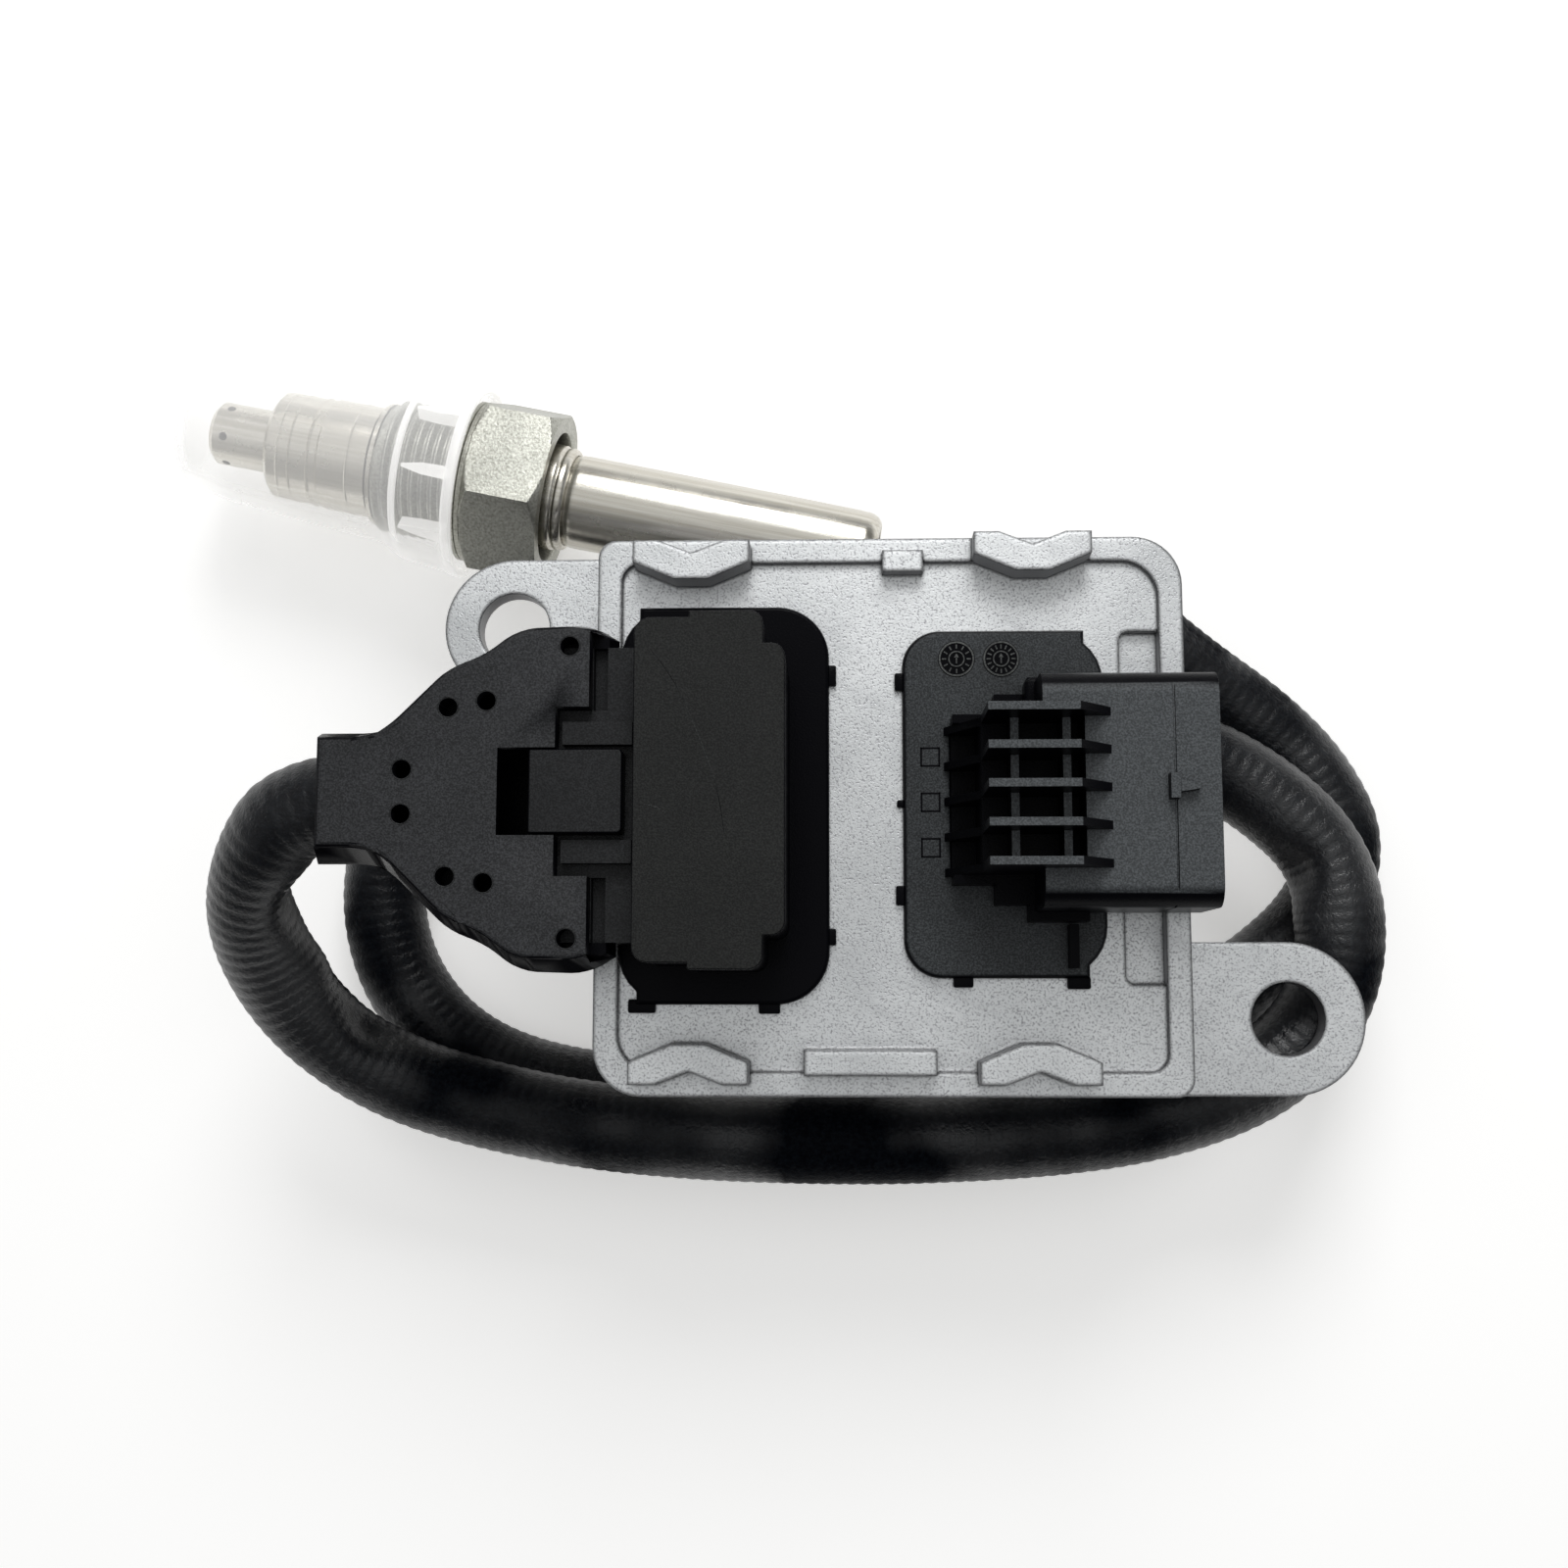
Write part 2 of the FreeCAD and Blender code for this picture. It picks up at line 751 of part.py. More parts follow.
def make_housing():
    body = new_body("Housing")
    plan = rectangle(P.left_x, P.right_x, P.low_y, P.high_y)
    add_prism(body, plan, Size.of(0), P.rim_top)
    dress(body, upright_at([plan[0], plan[2]]), P.corner_large)
    dress(body, upright_at([plan[1], plan[3]]), P.corner_small)
    add_ears(body)
    band = P.rim_band
    panel = rectangle(P.left_x + band, P.right_x - band, P.low_y + band, P.high_y - band)
    cut_prism(body, panel, P.panel_top, P.rim_top)
    dress(body, upright_at([panel[0], panel[2]]), P.corner_large - band / 2)
    dress(body, upright_at([panel[1], panel[3]]), P.corner_small)
    tray_right = P.right_x - P.tray_gap
    tray_y = P.link_y - P.tray_shift
    tray = rectangle(tray_right - P.tray_long, tray_right,
                     tray_y - P.tray_wide / 2, tray_y + P.tray_wide / 2)
    cut_prism(body, tray, P.panel_top - P.tray_drop, P.panel_top)
    dress(body, upright_at([tray[0], tray[3]]), P.tray_corner)
    rest_top = P.rim_top + P.rest_rise
    nose = rest_outline()
    middle = P.body_centre_x
    for x, inset in ((middle - P.rest_left_x, P.rest_left_inset),
                     (middle + P.rest_right_x, P.rest_right_inset)):
        for edge_y, up in ((P.high_y - inset - P.rest_deep, 1),
                           (P.low_y + P.rest_low_inset + P.rest_deep, -1)):
            add_prism(body, mirrored(nose, x, edge_y, up), P.panel_under, rest_top)
    bar_x = middle + P.bar_x
    bar_y = P.low_y + P.bar_inset
    add_prism(body, rectangle(bar_x - P.bar_long / 2, bar_x + P.bar_long / 2,
                              bar_y, bar_y + P.bar_wide), P.panel_under, rest_top)
    stud_x = middle + P.stud_x
    stud_y = P.high_y - P.stud_inset
    add_prism(body, rectangle(stud_x - P.stud_long / 2, stud_x + P.stud_long / 2,
                              stud_y - P.stud_wide, stud_y), P.panel_under,
              P.rim_top + P.stud_rise)
    wall = P.housing_wall
    hollow = rectangle(P.left_x + wall, P.right_x - wall, P.low_y + wall, P.high_y - wall)
    cut_prism(body, hollow, Size.of(0), P.panel_under - P.tray_drop)
    dress(body, upright_at([hollow[0], hollow[2]]), P.corner_large - wall)
    cut_prism(body, plate_outline(Size.of(0)), Size.of(0), P.plate_top + P.gasket_thick)
    add_discs(body, post_places(), P.post_radius, P.board_top, P.panel_under)
    cut_discs(body, post_places(), P.screw_radius, P.board_top, P.screw_long + P.plate_lift)
    cut_prism(body, spigot_outline(left_spigot(), P.spigot_gap), P.board_top, P.panel_top + 1)
    cut_prism(body, spigot_outline(power_spigot(), P.spigot_gap), P.board_top, P.panel_top + 1)
    keep(body, "housing")


def left_spigot():
    """Where the sensor side header passes through the panel: low and high x, and half width."""
    return (P.tower_x + P.socket_deep - 0.8, P.tower_x + P.tower_long - 0.5, P.socket_half - 2)


def power_spigot():
    return (P.spigot_x, P.spigot_x + P.spigot_long, P.elbow_half - 0.4)


def spigot_outline(spigot, gap):
    low, high, half = spigot
    return rectangle(low - gap, high + gap, P.link_y - half - gap, P.link_y + half + gap)


def trimmed_outline(inset):
    """The housing's plan set in by a distance, with the two large corners cut off."""
    x_low, x_high = P.left_x + inset, P.right_x - inset
    y_low, y_high = P.low_y + inset, P.high_y - inset
    cut = P.plate_corner
    return [(x_low + cut, y_low), (x_high, y_low), (x_high, y_high - cut),
            (x_high - cut, y_high), (x_low, y_high), (x_low, y_low + cut)]


def plate_outline(gap):
    return trimmed_outline(P.rebate_wall + gap)


def make_base_plate():
    body = new_body("BasePlate")
    add_prism(body, plate_outline(P.plate_gap), P.plate_lift, P.plate_top)
    cut_discs(body, post_places(), P.screw_hole_radius, Size.of(0), P.plate_top)
    low = P.plate_lift.value

    def hole_mouth(edge, ends):
        box = edge.BoundBox
        level = abs(box.ZMin - low) < 0.001 and abs(box.ZMax - low) < 0.001
        return level and isinstance(edge.Curve, Part.Circle) and len(ends) == 1

    dress(body, hole_mouth, P.screw_head_radius - P.screw_hole_radius, "PartDesign::Chamfer")
    keep(body, "base_plate")


def make_base_gasket():
    body = new_body("BaseGasket")
    inner = trimmed_outline(P.housing_wall + P.board_gap / 2)
    top = P.plate_top + P.gasket_thick
    add_prism(body, plate_outline(P.plate_gap), P.plate_top, top)
    cut_prism(body, inner, P.plate_top, top)
    keep(body, "base_gasket")


def make_base_screws():
    screws = []
    for x, y in post_places():
        head_top = P.plate_lift + (P.screw_head_radius - P.screw_radius)
        head = make_cone(x, y, P.plate_lift, head_top, P.screw_head_radius - 0.1, P.screw_radius)
        shank = make_rod(x, y, P.plate_lift, P.screw_long, P.screw_radius - 0.02)
        drive = make_rod(x, y, Size.of(0), P.plate_lift + P.screw_drive_deep, P.screw_drive_radius)
        screws.append(remove(join([head, shank]), drive))
    keep(group(screws), "base_screws")


def make_circuit_board():
    body = new_body("CircuitBoard")
    inset = P.housing_wall + P.board_gap
    plan = rectangle(P.left_x + inset, P.right_x - inset, P.low_y + inset, P.high_y - inset)
    add_prism(body, plan, P.board_top - P.board_thick, P.board_top)
    dress(body, upright_at([plan[0], plan[2]]), P.corner_large - P.housing_wall)
    cut_discs(body, post_places(), P.screw_hole_radius, P.board_top - P.board_thick, P.board_top)
    keep(body, "circuit_board")


def make_board_pieces():
    top = P.board_top
    middle_x = P.body_centre_x - 4
    chip = make_box(middle_x, middle_x + P.chip_side, P.low_y + 12, P.low_y + 12 + P.chip_side,
                    top, top + P.chip_thick)
    keep(chip, "processor")
    drivers = []
    for step in range(3):
        low_y = P.body_centre_y + 2 + (P.driver_side + 3) * step
        low_x = P.body_centre_x + P.body_long / 4
        drivers.append(make_box(low_x, low_x + P.driver_side, low_y, low_y + P.driver_side,
                                top, top + P.driver_thick))
    keep(group(drivers), "driver_chips")
    cans = []
    for step in range(2):
        y = P.high_y - P.can_from_edge + (2 * P.can_radius + 1) * step
        cans.append(make_rod(P.body_centre_x - 4, y, top, top + P.can_tall, P.can_radius))
    keep(group(cans), "capacitors")


# Flanges of both headers

def flange_outline(outer_x, inner_x, half):
    """A flange's plan: its two outer corners are tabs with an arc that runs out beside them."""
    outward = 1 if outer_x.value > inner_x.value else -1
    cut, radius = P.flange_cut, P.flange_arc
    first = math.acos(1 - cut.value / radius.value)
    centre_x = outer_x - radius * outward
    centre_y = half - P.flange_tab - radius * math.sin(first)
    corner = [(outer_x - cut * outward, half)]
    for step in range(5):
        angle = first * (1 - step / 4)
        corner.append((centre_x + radius * (math.cos(angle) * outward),
                       centre_y + radius * math.sin(angle)))
    upper = [(x, P.link_y + offset) for x, offset in corner]
    lower = [(x, P.link_y - offset) for x, offset in reversed(corner)]
    return [(inner_x, P.link_y + half)] + upper + lower + [(inner_x, P.link_y - half)]


# Sensor side header, its pins and seal

def header_seal(name, label, spigot):
    """A flat ring round the spigot, in a recess under the flange."""
    body = new_body(name)
    wide = P.header_seal_wide
    add_prism(body, spigot_outline(spigot, P.spigot_gap + wide), P.panel_top,
              P.panel_top + P.header_seal_thick)
    cut_prism(body, spigot_outline(spigot, Size.of(0)), P.panel_top,
              P.panel_top + P.header_seal_thick)
    keep(body, label)


def make_sensor_header():
    body = new_body("SensorHeader")
    y = P.link_y
    flange = flange_outline(P.left_flange_x, P.left_flange_x + P.left_flange_long,
                            P.left_flange_half)
    add_prism(body, flange, P.panel_top, P.flange_top)
    dress(body, upright_at([flange[0], flange[-1]]), P.left_flange_corner)
    tower_high = P.tower_x + P.tower_long
    step_x, step_y = P.tower_step_x, P.tower_step_y
    front_x = P.tower_x + P.tower_front_long
    half_tower = [
        (P.tower_x, P.tower_half - P.tower_front_inset),
        (front_x, P.tower_half - P.tower_front_inset),
        (front_x, P.tower_half),
        (tower_high - step_x, P.tower_half),
        (tower_high - step_x, P.tower_half - step_y),
        (tower_high, P.tower_half - step_y),
    ]
    upper = [(x, y + offset) for x, offset in half_tower]
    lower = [(x, y - offset) for x, offset in reversed(half_tower)]
    add_prism(body, upper + lower, P.panel_top, P.tower_top)
    dress(body, upright_at([upper[3], upper[5], lower[0], lower[2]]), P.tower_corner)
    dress(body, upright_at([upper[0], lower[-1]]), P.tower_front_corner)
    spigot = left_spigot()
    add_prism(body, spigot_outline(spigot, Size.of(0)), P.panel_under, P.panel_top)
    seat = spigot_outline(spigot, P.spigot_gap + P.header_seal_wide)
    ring_top = P.panel_top + P.header_seal_thick
    cut_prism(body, seat, P.panel_top, ring_top)
    add_prism(body, spigot_outline(spigot, Size.of(0)), P.panel_top, ring_top)
    socket = rectangle(P.tower_x - 1, P.tower_x + P.socket_deep, y - P.socket_half,
                       y + P.socket_half)
    cut_prism(body, socket, P.socket_low, P.socket_low + P.socket_tall)
    side = P.pin_side
    back = P.tower_x + P.socket_deep
    leg = back + P.pin_leg_x
    well = rectangle(leg, leg + side, y - P.pin_pitch * 3.5 - side / 2,
                     y + P.pin_pitch * 3.5 + side / 2)
    cut_prism(body, well, P.panel_under - 1, P.pin_level + side)
    for place in pin_rows():
        hole = rectangle(back - 1, leg, place - side / 2, place + side / 2)
        cut_prism(body, hole, P.pin_level, P.pin_level + side)
    keep(body, "sensor_header")


def pin_rows():
    return [P.link_y + P.pin_pitch * (step - 3.5) for step in range(8)]


def make_sensor_pins():
    side = P.pin_side
    back = P.tower_x + P.socket_deep
    leg = back + P.pin_leg_x
    pins = []
    for y in pin_rows():
        blade = make_box(back - P.pin_reach, leg + side, y - side / 2, y + side / 2,
                         P.pin_level, P.pin_level + side)
        stem = make_box(leg, leg + side, y - side / 2, y + side / 2, P.board_top, P.pin_level)
        pins.append(join([blade, stem]))
    keep(group(pins), "sensor_header_pins")


# Power header with its ribbed elbow

def make_power_header():
    body = new_body("PowerHeader")
    y = P.link_y
    flange = flange_outline(P.power_flange_end, P.power_flange_x, P.power_flange_half)
    add_prism(body, flange, P.panel_top, P.flange_top)
    dress(body, upright_at([flange[0], flange[-1]]), P.power_flange_corner)
    for x_low, x_high, half in (
        (P.elbow_x, P.shroud_x + 2, P.elbow_half),
        (P.elbow_step_x, P.shroud_x + 2, P.elbow_step_half),
        (P.collar_x, P.collar_x + P.collar_long, P.collar_half),
    ):
        add_prism(body, rectangle(x_low, x_high, y - half, y + half), P.panel_top, P.elbow_top)
    hump_half = P.rib_pitch * 2 + P.rib_thick / 2
    hump = rectangle(P.rib_start, P.shroud_x + 2, y - hump_half, y + hump_half)
    add_prism(body, hump, P.elbow_top, P.hump_top)
    shroud = rectangle(P.shroud_x, P.shroud_end, y - P.shroud_half, y + P.shroud_half)
    add_prism(body, shroud, P.shroud_low, P.shroud_top)
    for level, corner in ((P.shroud_top, P.shroud_corner), (P.shroud_low, P.shroud_foot_corner)):
        edges = [(y - P.shroud_half, level), (y + P.shroud_half, level)]
        dress(body, lengthwise_at(edges), corner)
    wall = P.shroud_wall
    cavity = rectangle(P.shroud_end - P.shroud_deep, P.shroud_end + 1,
                       y - P.shroud_half + wall, y + P.shroud_half - wall)
    cut_prism(body, cavity, P.shroud_low + wall, P.shroud_top - wall)
    pocket = rectangle(P.rib_start, P.rib_pocket_end, y - hump_half, y + hump_half)
    cut_prism(body, pocket, P.hump_top, P.shroud_top + 1)
    cells = rectangle(P.elbow_x, P.rib_start, y - hump_half, y + hump_half)
    cut_prism(body, cells, P.cell_low, P.elbow_top)
    add_ribs(body)
    knob = rectangle(P.knob_x, P.knob_x + P.knob_long, y - P.knob_wide / 2, y + P.knob_wide / 2)
    add_prism(body, knob, P.shroud_top, P.shroud_top + P.knob_rise)
    wedge = [
        (P.knob_x + P.knob_long, y - P.knob_wide / 4),
        (P.knob_x + P.knob_long + P.wedge_long, y - P.knob_wide / 8),
        (P.knob_x + P.knob_long + P.wedge_long, y + P.knob_wide / 8),
        (P.knob_x + P.knob_long, y + P.knob_wide / 4),
    ]
    add_prism(body, wedge, P.shroud_top, P.shroud_top + P.knob_rise * 0.8)
    fin = rectangle(P.fin_x, P.fin_x + P.fin_wide, y - P.fin_far, y - P.fin_near)
    add_prism(body, fin, P.flange_top - P.flange_thick / 2, P.flange_top + P.fin_rise)
    cut_seam(body)
    spigot = power_spigot()
    add_prism(body, spigot_outline(spigot, Size.of(0)), P.panel_under, P.panel_top)
    seat = spigot_outline(spigot, P.spigot_gap + P.header_seal_wide)
    ring_top = P.panel_top + P.header_seal_thick
    cut_prism(body, seat, P.panel_top, ring_top)
    add_prism(body, spigot_outline(spigot, Size.of(0)), P.panel_top, ring_top)
    wide, thick = P.blade_wide, P.blade_thick
    leg = P.blade_leg_x
    well = rectangle(leg, leg + thick, y - P.blade_pitch * 2 - wide / 2,
                     y + P.blade_pitch * 2 + wide / 2)
    cut_prism(body, well, P.panel_under - 1, P.blade_level + thick)
    for place in blade_rows():
        hole = rectangle(leg, P.shroud_end - P.shroud_deep + 1, place - wide / 2, place + wide / 2)
        cut_prism(body, hole, P.blade_level, P.blade_level + thick)
    keep(body, "power_header")


def blade_rows():
    return [P.link_y + P.blade_pitch * (step - 2) for step in range(5)]


def cut_seam(body):
    """The parting line round the shroud's top and sides."""
    y = P.link_y
    x_low, x_high = P.seam_x, P.seam_x + P.seam_wide
    deep = P.seam_deep
    half = P.shroud_half
    cut_prism(body, rectangle(x_low, x_high, y - half, y + half), P.shroud_top - deep,
              P.shroud_top)
    for low, high in ((y - half, y - half + deep), (y + half - deep, y + half)):
        cut_prism(body, rectangle(x_low, x_high, low, high), P.shroud_low, P.shroud_top)


def add_ribs(body):
    """Five ribs down the elbow, each running out over the shroud, and two across."""
    y = P.link_y
    floor = P.hump_top
    seat = P.shroud_top - P.shroud_wall / 2
    profile = [
        (P.rib_foot_x, P.flange_top - P.flange_thick / 2),
        (P.rib_foot_x, P.flange_top + 0.5),
        (P.rib_start, P.elbow_top + P.rib_pitch),
        (P.rib_start, P.rib_top),
        (P.rib_flat_end, P.rib_top),
        (P.rib_end, P.shroud_top),
        (P.rib_end, seat),
        (P.rib_pocket_end + 0.5, seat),
        (P.rib_pocket_end + 0.5, floor - 1),
        (P.rib_start + 0.5, floor - 1),
        (P.rib_start + 0.5, P.flange_top - P.flange_thick / 2),
    ]
    for step in range(5):
        add_plate(body, profile, y + P.rib_pitch * (step - 2), P.rib_thick)
    for x in (P.cross_rib_a, P.cross_rib_b):
        rib = rectangle(x - P.rib_thick / 2, x + P.rib_thick / 2, y - P.rib_pitch * 2,
                        y + P.rib_pitch * 2)
        add_prism(body, rib, floor, P.rib_top - P.cross_rib_drop)


def make_power_pins():
    wide, thick = P.blade_wide, P.blade_thick
    leg = P.blade_leg_x
    level = P.blade_level
    pins = []
    for y in blade_rows():
        blade = make_box(leg, P.shroud_end - P.shroud_deep + P.blade_reach, y - wide / 2,
                         y + wide / 2, level, level + thick)
        stem = make_box(leg, leg + thick, y - wide / 2, y + wide / 2, P.board_top, level)
        pins.append(join([blade, stem]))
    keep(group(pins), "power_pins")


# Plug on the sensor side

def shell_outline():
    """Plan of the plug's cover: a narrow rear boss that widens in two steps to the front."""
    half = [
        (P.shell_rear_x, P.shell_rear_half),
        (P.boss_end_x, P.shell_rear_half),
        (P.boss_top_x, P.shell_rear_half + 0.8),
        (P.knee_low_x, P.knee_low_half),
        (P.knee_high_x, P.knee_high_half),
        (P.hip_x, P.hip_half),
        (P.cheek_x, P.cheek_half),
        (P.shell_front_x, P.cheek_half - P.nose_drop),
    ]
    upper = [(x, P.link_y + offset) for x, offset in half]
    lower = [(x, P.link_y - offset) for x, offset in reversed(half)]
    return upper + lower


def hollow_shell(body, low, high):
    """Makes room in one half of the cover for the wires, the plug body and the conduit."""
    y = P.link_y
    wall = P.shell_wall
    wires = rectangle(P.shell_rear_x + P.conduit_hidden, P.plug_rear_x,
                      y - P.shell_rear_half + wall, y + P.shell_rear_half - wall)
    cut_prism(body, wires, low, high)
    wide = rectangle(P.knee_high_x, P.plug_rear_x, y - P.knee_high_half + wall,
                     y + P.knee_high_half - wall)
    cut_prism(body, wide, low, high)


def bore_for_conduit(body):
    sketch = new_sketch(body, "YZ_Plane", P.shell_rear_x + P.conduit_hidden + 0.1)
    draw_circle(sketch, P.link_y, P.conduit_level, P.conduit_radius + P.conduit_grip_gap)
    sink_pocket(body, sketch, P.conduit_hidden + 1)


def make_shell_top():
    body = new_body("ShellTop")
    y = P.link_y
    add_prism(body, shell_outline(), P.shell_mid, P.shell_top, -P.shell_taper)
    hollow_shell(body, P.shell_mid, P.shell_top - P.shell_wall)
    room = rectangle(P.plug_rear_x, P.shell_front_x + 1, y - P.plug_half, y + P.plug_half)
    cut_prism(body, room, P.shell_mid, P.plug_top)
    notch = rectangle(P.notch_x, P.shell_front_x + 1, y - P.notch_half, y + P.notch_half)
    cut_prism(body, notch, P.shell_mid, P.shell_top + 1)
    shelf = rectangle(P.shell_lip_x, P.shell_front_x + 1, y - P.cheek_half - 1,
                      y + P.cheek_half + 1)
    cut_prism(body, shelf, P.shell_shelf, P.shell_top + 1)
    slot = rectangle(P.slot_end_x, P.shell_front_x + 1, y - P.slot_half, y + P.slot_half)
    cut_prism(body, slot, P.plug_top, P.shell_top + 1)
    pegs = []
    for x, offset in ((P.peg_front_x, P.plug_half - P.peg_front_inset),
                      (P.peg_hip_x, P.peg_hip_half), (P.peg_knee_x, P.peg_knee_half),
                      (P.peg_rear_x, P.peg_rear_half)):
        pegs.append((x, y + offset))
        pegs.append((x, y - offset))
    cut_discs(body, pegs, P.peg_hole_radius, P.shell_top - P.peg_hole_deep, P.shell_top)
    bore_for_conduit(body)
    keep(body, "plug_cover_top")


def make_shell_bottom():
    body = new_body("ShellBottom")
    y = P.link_y
    sketch = new_sketch(body, "XY_Plane", P.shell_mid)
    draw_polygon(sketch, shell_outline())
    pad = raise_pad(body, sketch, P.shell_tall / 2, -P.shell_taper)
    pad.Reversed = True
    hollow_shell(body, P.shell_low + P.shell_wall, P.shell_mid)
    room = rectangle(P.plug_rear_x, P.shell_front_x + 1, y - P.plug_half, y + P.plug_half)
    cut_prism(body, room, P.plug_low, P.shell_mid)
    foot = rectangle(P.shell_foot_x, P.shell_front_x + 1, y - P.cheek_half - 1,
                     y + P.cheek_half + 1)
    cut_prism(body, foot, P.shell_low - 1, P.flange_top + P.shell_foot_gap)
    bore_for_conduit(body)
    keep(body, "plug_cover_bottom")


def make_plug_body():
    body = new_body("PlugBody")
    y = P.link_y
    plan = rectangle(P.plug_rear_x, P.plug_nose_x, y - P.plug_half, y + P.plug_half)
    add_prism(body, plan, P.plug_low, P.plug_top)
    for side in (-1, 1):
        inner, outer = y + P.rail_inner * side, y + P.rail_outer * side
        low, high = (inner, outer) if side > 0 else (outer, inner)
        rail = rectangle(P.rail_x, P.rail_x + P.rail_long, low, high)
        add_prism(body, rail, P.plug_top, P.plug_top + P.rail_rise)
        edge, end = y + P.notch_half * side, y + P.plug_half * side
        low, high = (edge, end) if side > 0 else (end, edge)
        groove = rectangle(P.plug_groove_x, P.plug_groove_x + P.plug_groove_long, low, high)
        cut_prism(body, groove, P.plug_top - P.plug_groove_deep, P.plug_top)
    gap = P.foot_gap
    rear = P.plug_rear_x - 1
    front = P.latch_front_x - P.latch_long + P.foot_long + 1
    stem = rectangle(rear, front, y - P.foot_stem_half - gap, y + P.foot_stem_half + gap)
    cut_prism(body, stem, P.foot_low, P.plug_top)
    tee = rectangle(rear, front, y - P.foot_half - gap, y + P.foot_half + gap)
    cut_prism(body, tee, P.foot_low - gap, P.foot_low + P.foot_thick + gap)
    seal_end = P.plug_seal_x + P.plug_seal_long
    deep = P.plug_seal_deep
    for low_y, high_y in ((y - P.plug_half - 1, y - P.plug_half + deep),
                          (y + P.plug_half - deep, y + P.plug_half + 1)):
        cut_prism(body, rectangle(P.plug_seal_x, seal_end, low_y, high_y), P.plug_low - 1,
                  P.plug_top + 1)
    band = rectangle(P.plug_seal_x, seal_end, y - P.plug_half - 1, y + P.plug_half + 1)
    cut_prism(body, band, P.plug_top - deep, P.plug_top + 1)
    cut_prism(body, band, P.plug_low - 1, P.plug_low + deep)
    half = P.terminal_side / 2
    middle = P.pin_level + P.pin_side / 2
    for row in pin_rows():
        lane = rectangle(P.plug_rear_x, P.plug_rear_x + P.terminal_long, row - half, row + half)
        cut_prism(body, lane, middle - half, middle + half)
        entry = rectangle(P.plug_rear_x + P.terminal_long, P.plug_nose_x, row - P.pin_side,
                          row + P.pin_side)
        cut_prism(body, entry, middle - P.pin_side, middle + P.pin_side)
    keep(body, "plug_body")


def make_plug_terminals():
    half = P.terminal_side / 2
    middle = P.pin_level + P.pin_side / 2
    pieces = []
    for row in pin_rows():
        pieces.append(make_box(P.plug_rear_x, P.plug_rear_x + P.terminal_long, row - half,
                               row + half, middle - half, middle + half))
    keep(group(pieces), "plug_terminals")


def make_plug_seal():
    body = new_body("PlugSeal")
    y = P.link_y
    x_low, x_high = P.plug_seal_x, P.plug_seal_x + P.plug_seal_long
    reach = P.socket_half - 0.1
    low, high = P.socket_low + 0.1, P.plug_top + P.plug_seal_deep
    add_prism(body, rectangle(x_low, x_high, y - reach, y + reach), low, high)
    inner = P.plug_half - P.plug_seal_deep
    cut_prism(body, rectangle(x_low, x_high, y - inner, y + inner), P.plug_low + P.plug_seal_deep,
              P.plug_top - P.plug_seal_deep)
    keep(body, "plug_seal")


def make_latch():
    body = new_body("LockSlide")
    y = P.link_y
    rear = P.latch_front_x - P.latch_long
    half = P.slot_half - P.latch_side_gap
    pad = rectangle(rear, P.latch_front_x, y - half, y + half)
    low = P.plug_top + P.latch_lift
    add_prism(body, pad, low, P.shell_top)
    dress(body, upright_at([pad[1], pad[2]]), Size.of(0.7))
    stem = rectangle(rear, rear + P.foot_long, y - P.foot_stem_half, y + P.foot_stem_half)
    add_prism(body, stem, P.foot_low, low)
    tee = rectangle(rear, rear + P.foot_long, y - P.foot_half, y + P.foot_half)
    add_prism(body, tee, P.foot_low, P.foot_low + P.foot_thick)
    keep(body, "plug_lock_slide")


# Conduit

def rounded_path(points):
    """Straight runs joined by arcs, each as large as its two runs allow."""
    corners = [Vector(*point) for point in points]
    edges = []
    radii = []
    start = corners[0]
    for before, corner, after in zip(corners, corners[1:], corners[2:]):
        back, ahead = before - corner, after - corner
        setback = CORNER_SHARE * min(back.Length, ahead.Length)
        turn = math.pi - back.getAngle(ahead)
        radii.append(setback / math.tan(turn / 2))
        back.normalize()
        ahead.normalize()
        arc_start = corner + back * setback
        arc_end = corner + ahead * setback
        inward = back + ahead
        inward.normalize()
        to_centre = radii[-1] / math.cos(turn / 2)
        middle = corner + inward * (to_centre - radii[-1])
        edges.append(Part.LineSegment(start, arc_start).toShape())
        edges.append(Part.Arc(arc_start, middle, arc_end).toShape())
        start = arc_end
    edges.append(Part.LineSegment(start, corners[-1]).toShape())
    return Part.Wire(edges), radii


def probe_point(along):
    """A point on the probe's axis, at a distance behind the nut's rear face."""
    turn = math.radians(SIZES["probe_turn"])
    return (SIZES["probe_x"] + along * math.cos(turn), SIZES["probe_y"] + along * math.sin(turn),
            SIZES["probe_z"])


def make_conduit():
    """The tube is one swept solid, because its path leaves any one plane."""
    lead_in = SIZES["grommet_end"] + LEAD_IN
    points = ROUTE + [probe_point(lead_in), probe_point(SIZES["grommet_end"])]
    path, radii = rounded_path(points)
    first = Vector(*points[0])
    heading = Vector(*points[1]) - first
    section = Part.Wire(Part.Circle(first, heading, SIZES["conduit_radius"]).toShape())
    tube = path.makePipeShell([section], True, False)
    feature = DOC.addObject("Part::Feature", "Conduit")
    feature.Shape = tube
    exact = math.pi * SIZES["conduit_radius"] ** 2 * path.Length
    print(f"conduit: length {path.Length:.1f} mm, radii", [round(radius, 1) for radius in radii])
    print(f"conduit: volume {tube.Volume:.0f} mm3, section times length {exact:.0f} mm3")
    keep(feature, "conduit")


# Exhaust probe: every piece is turned about the probe's own X axis, tip towards minus X

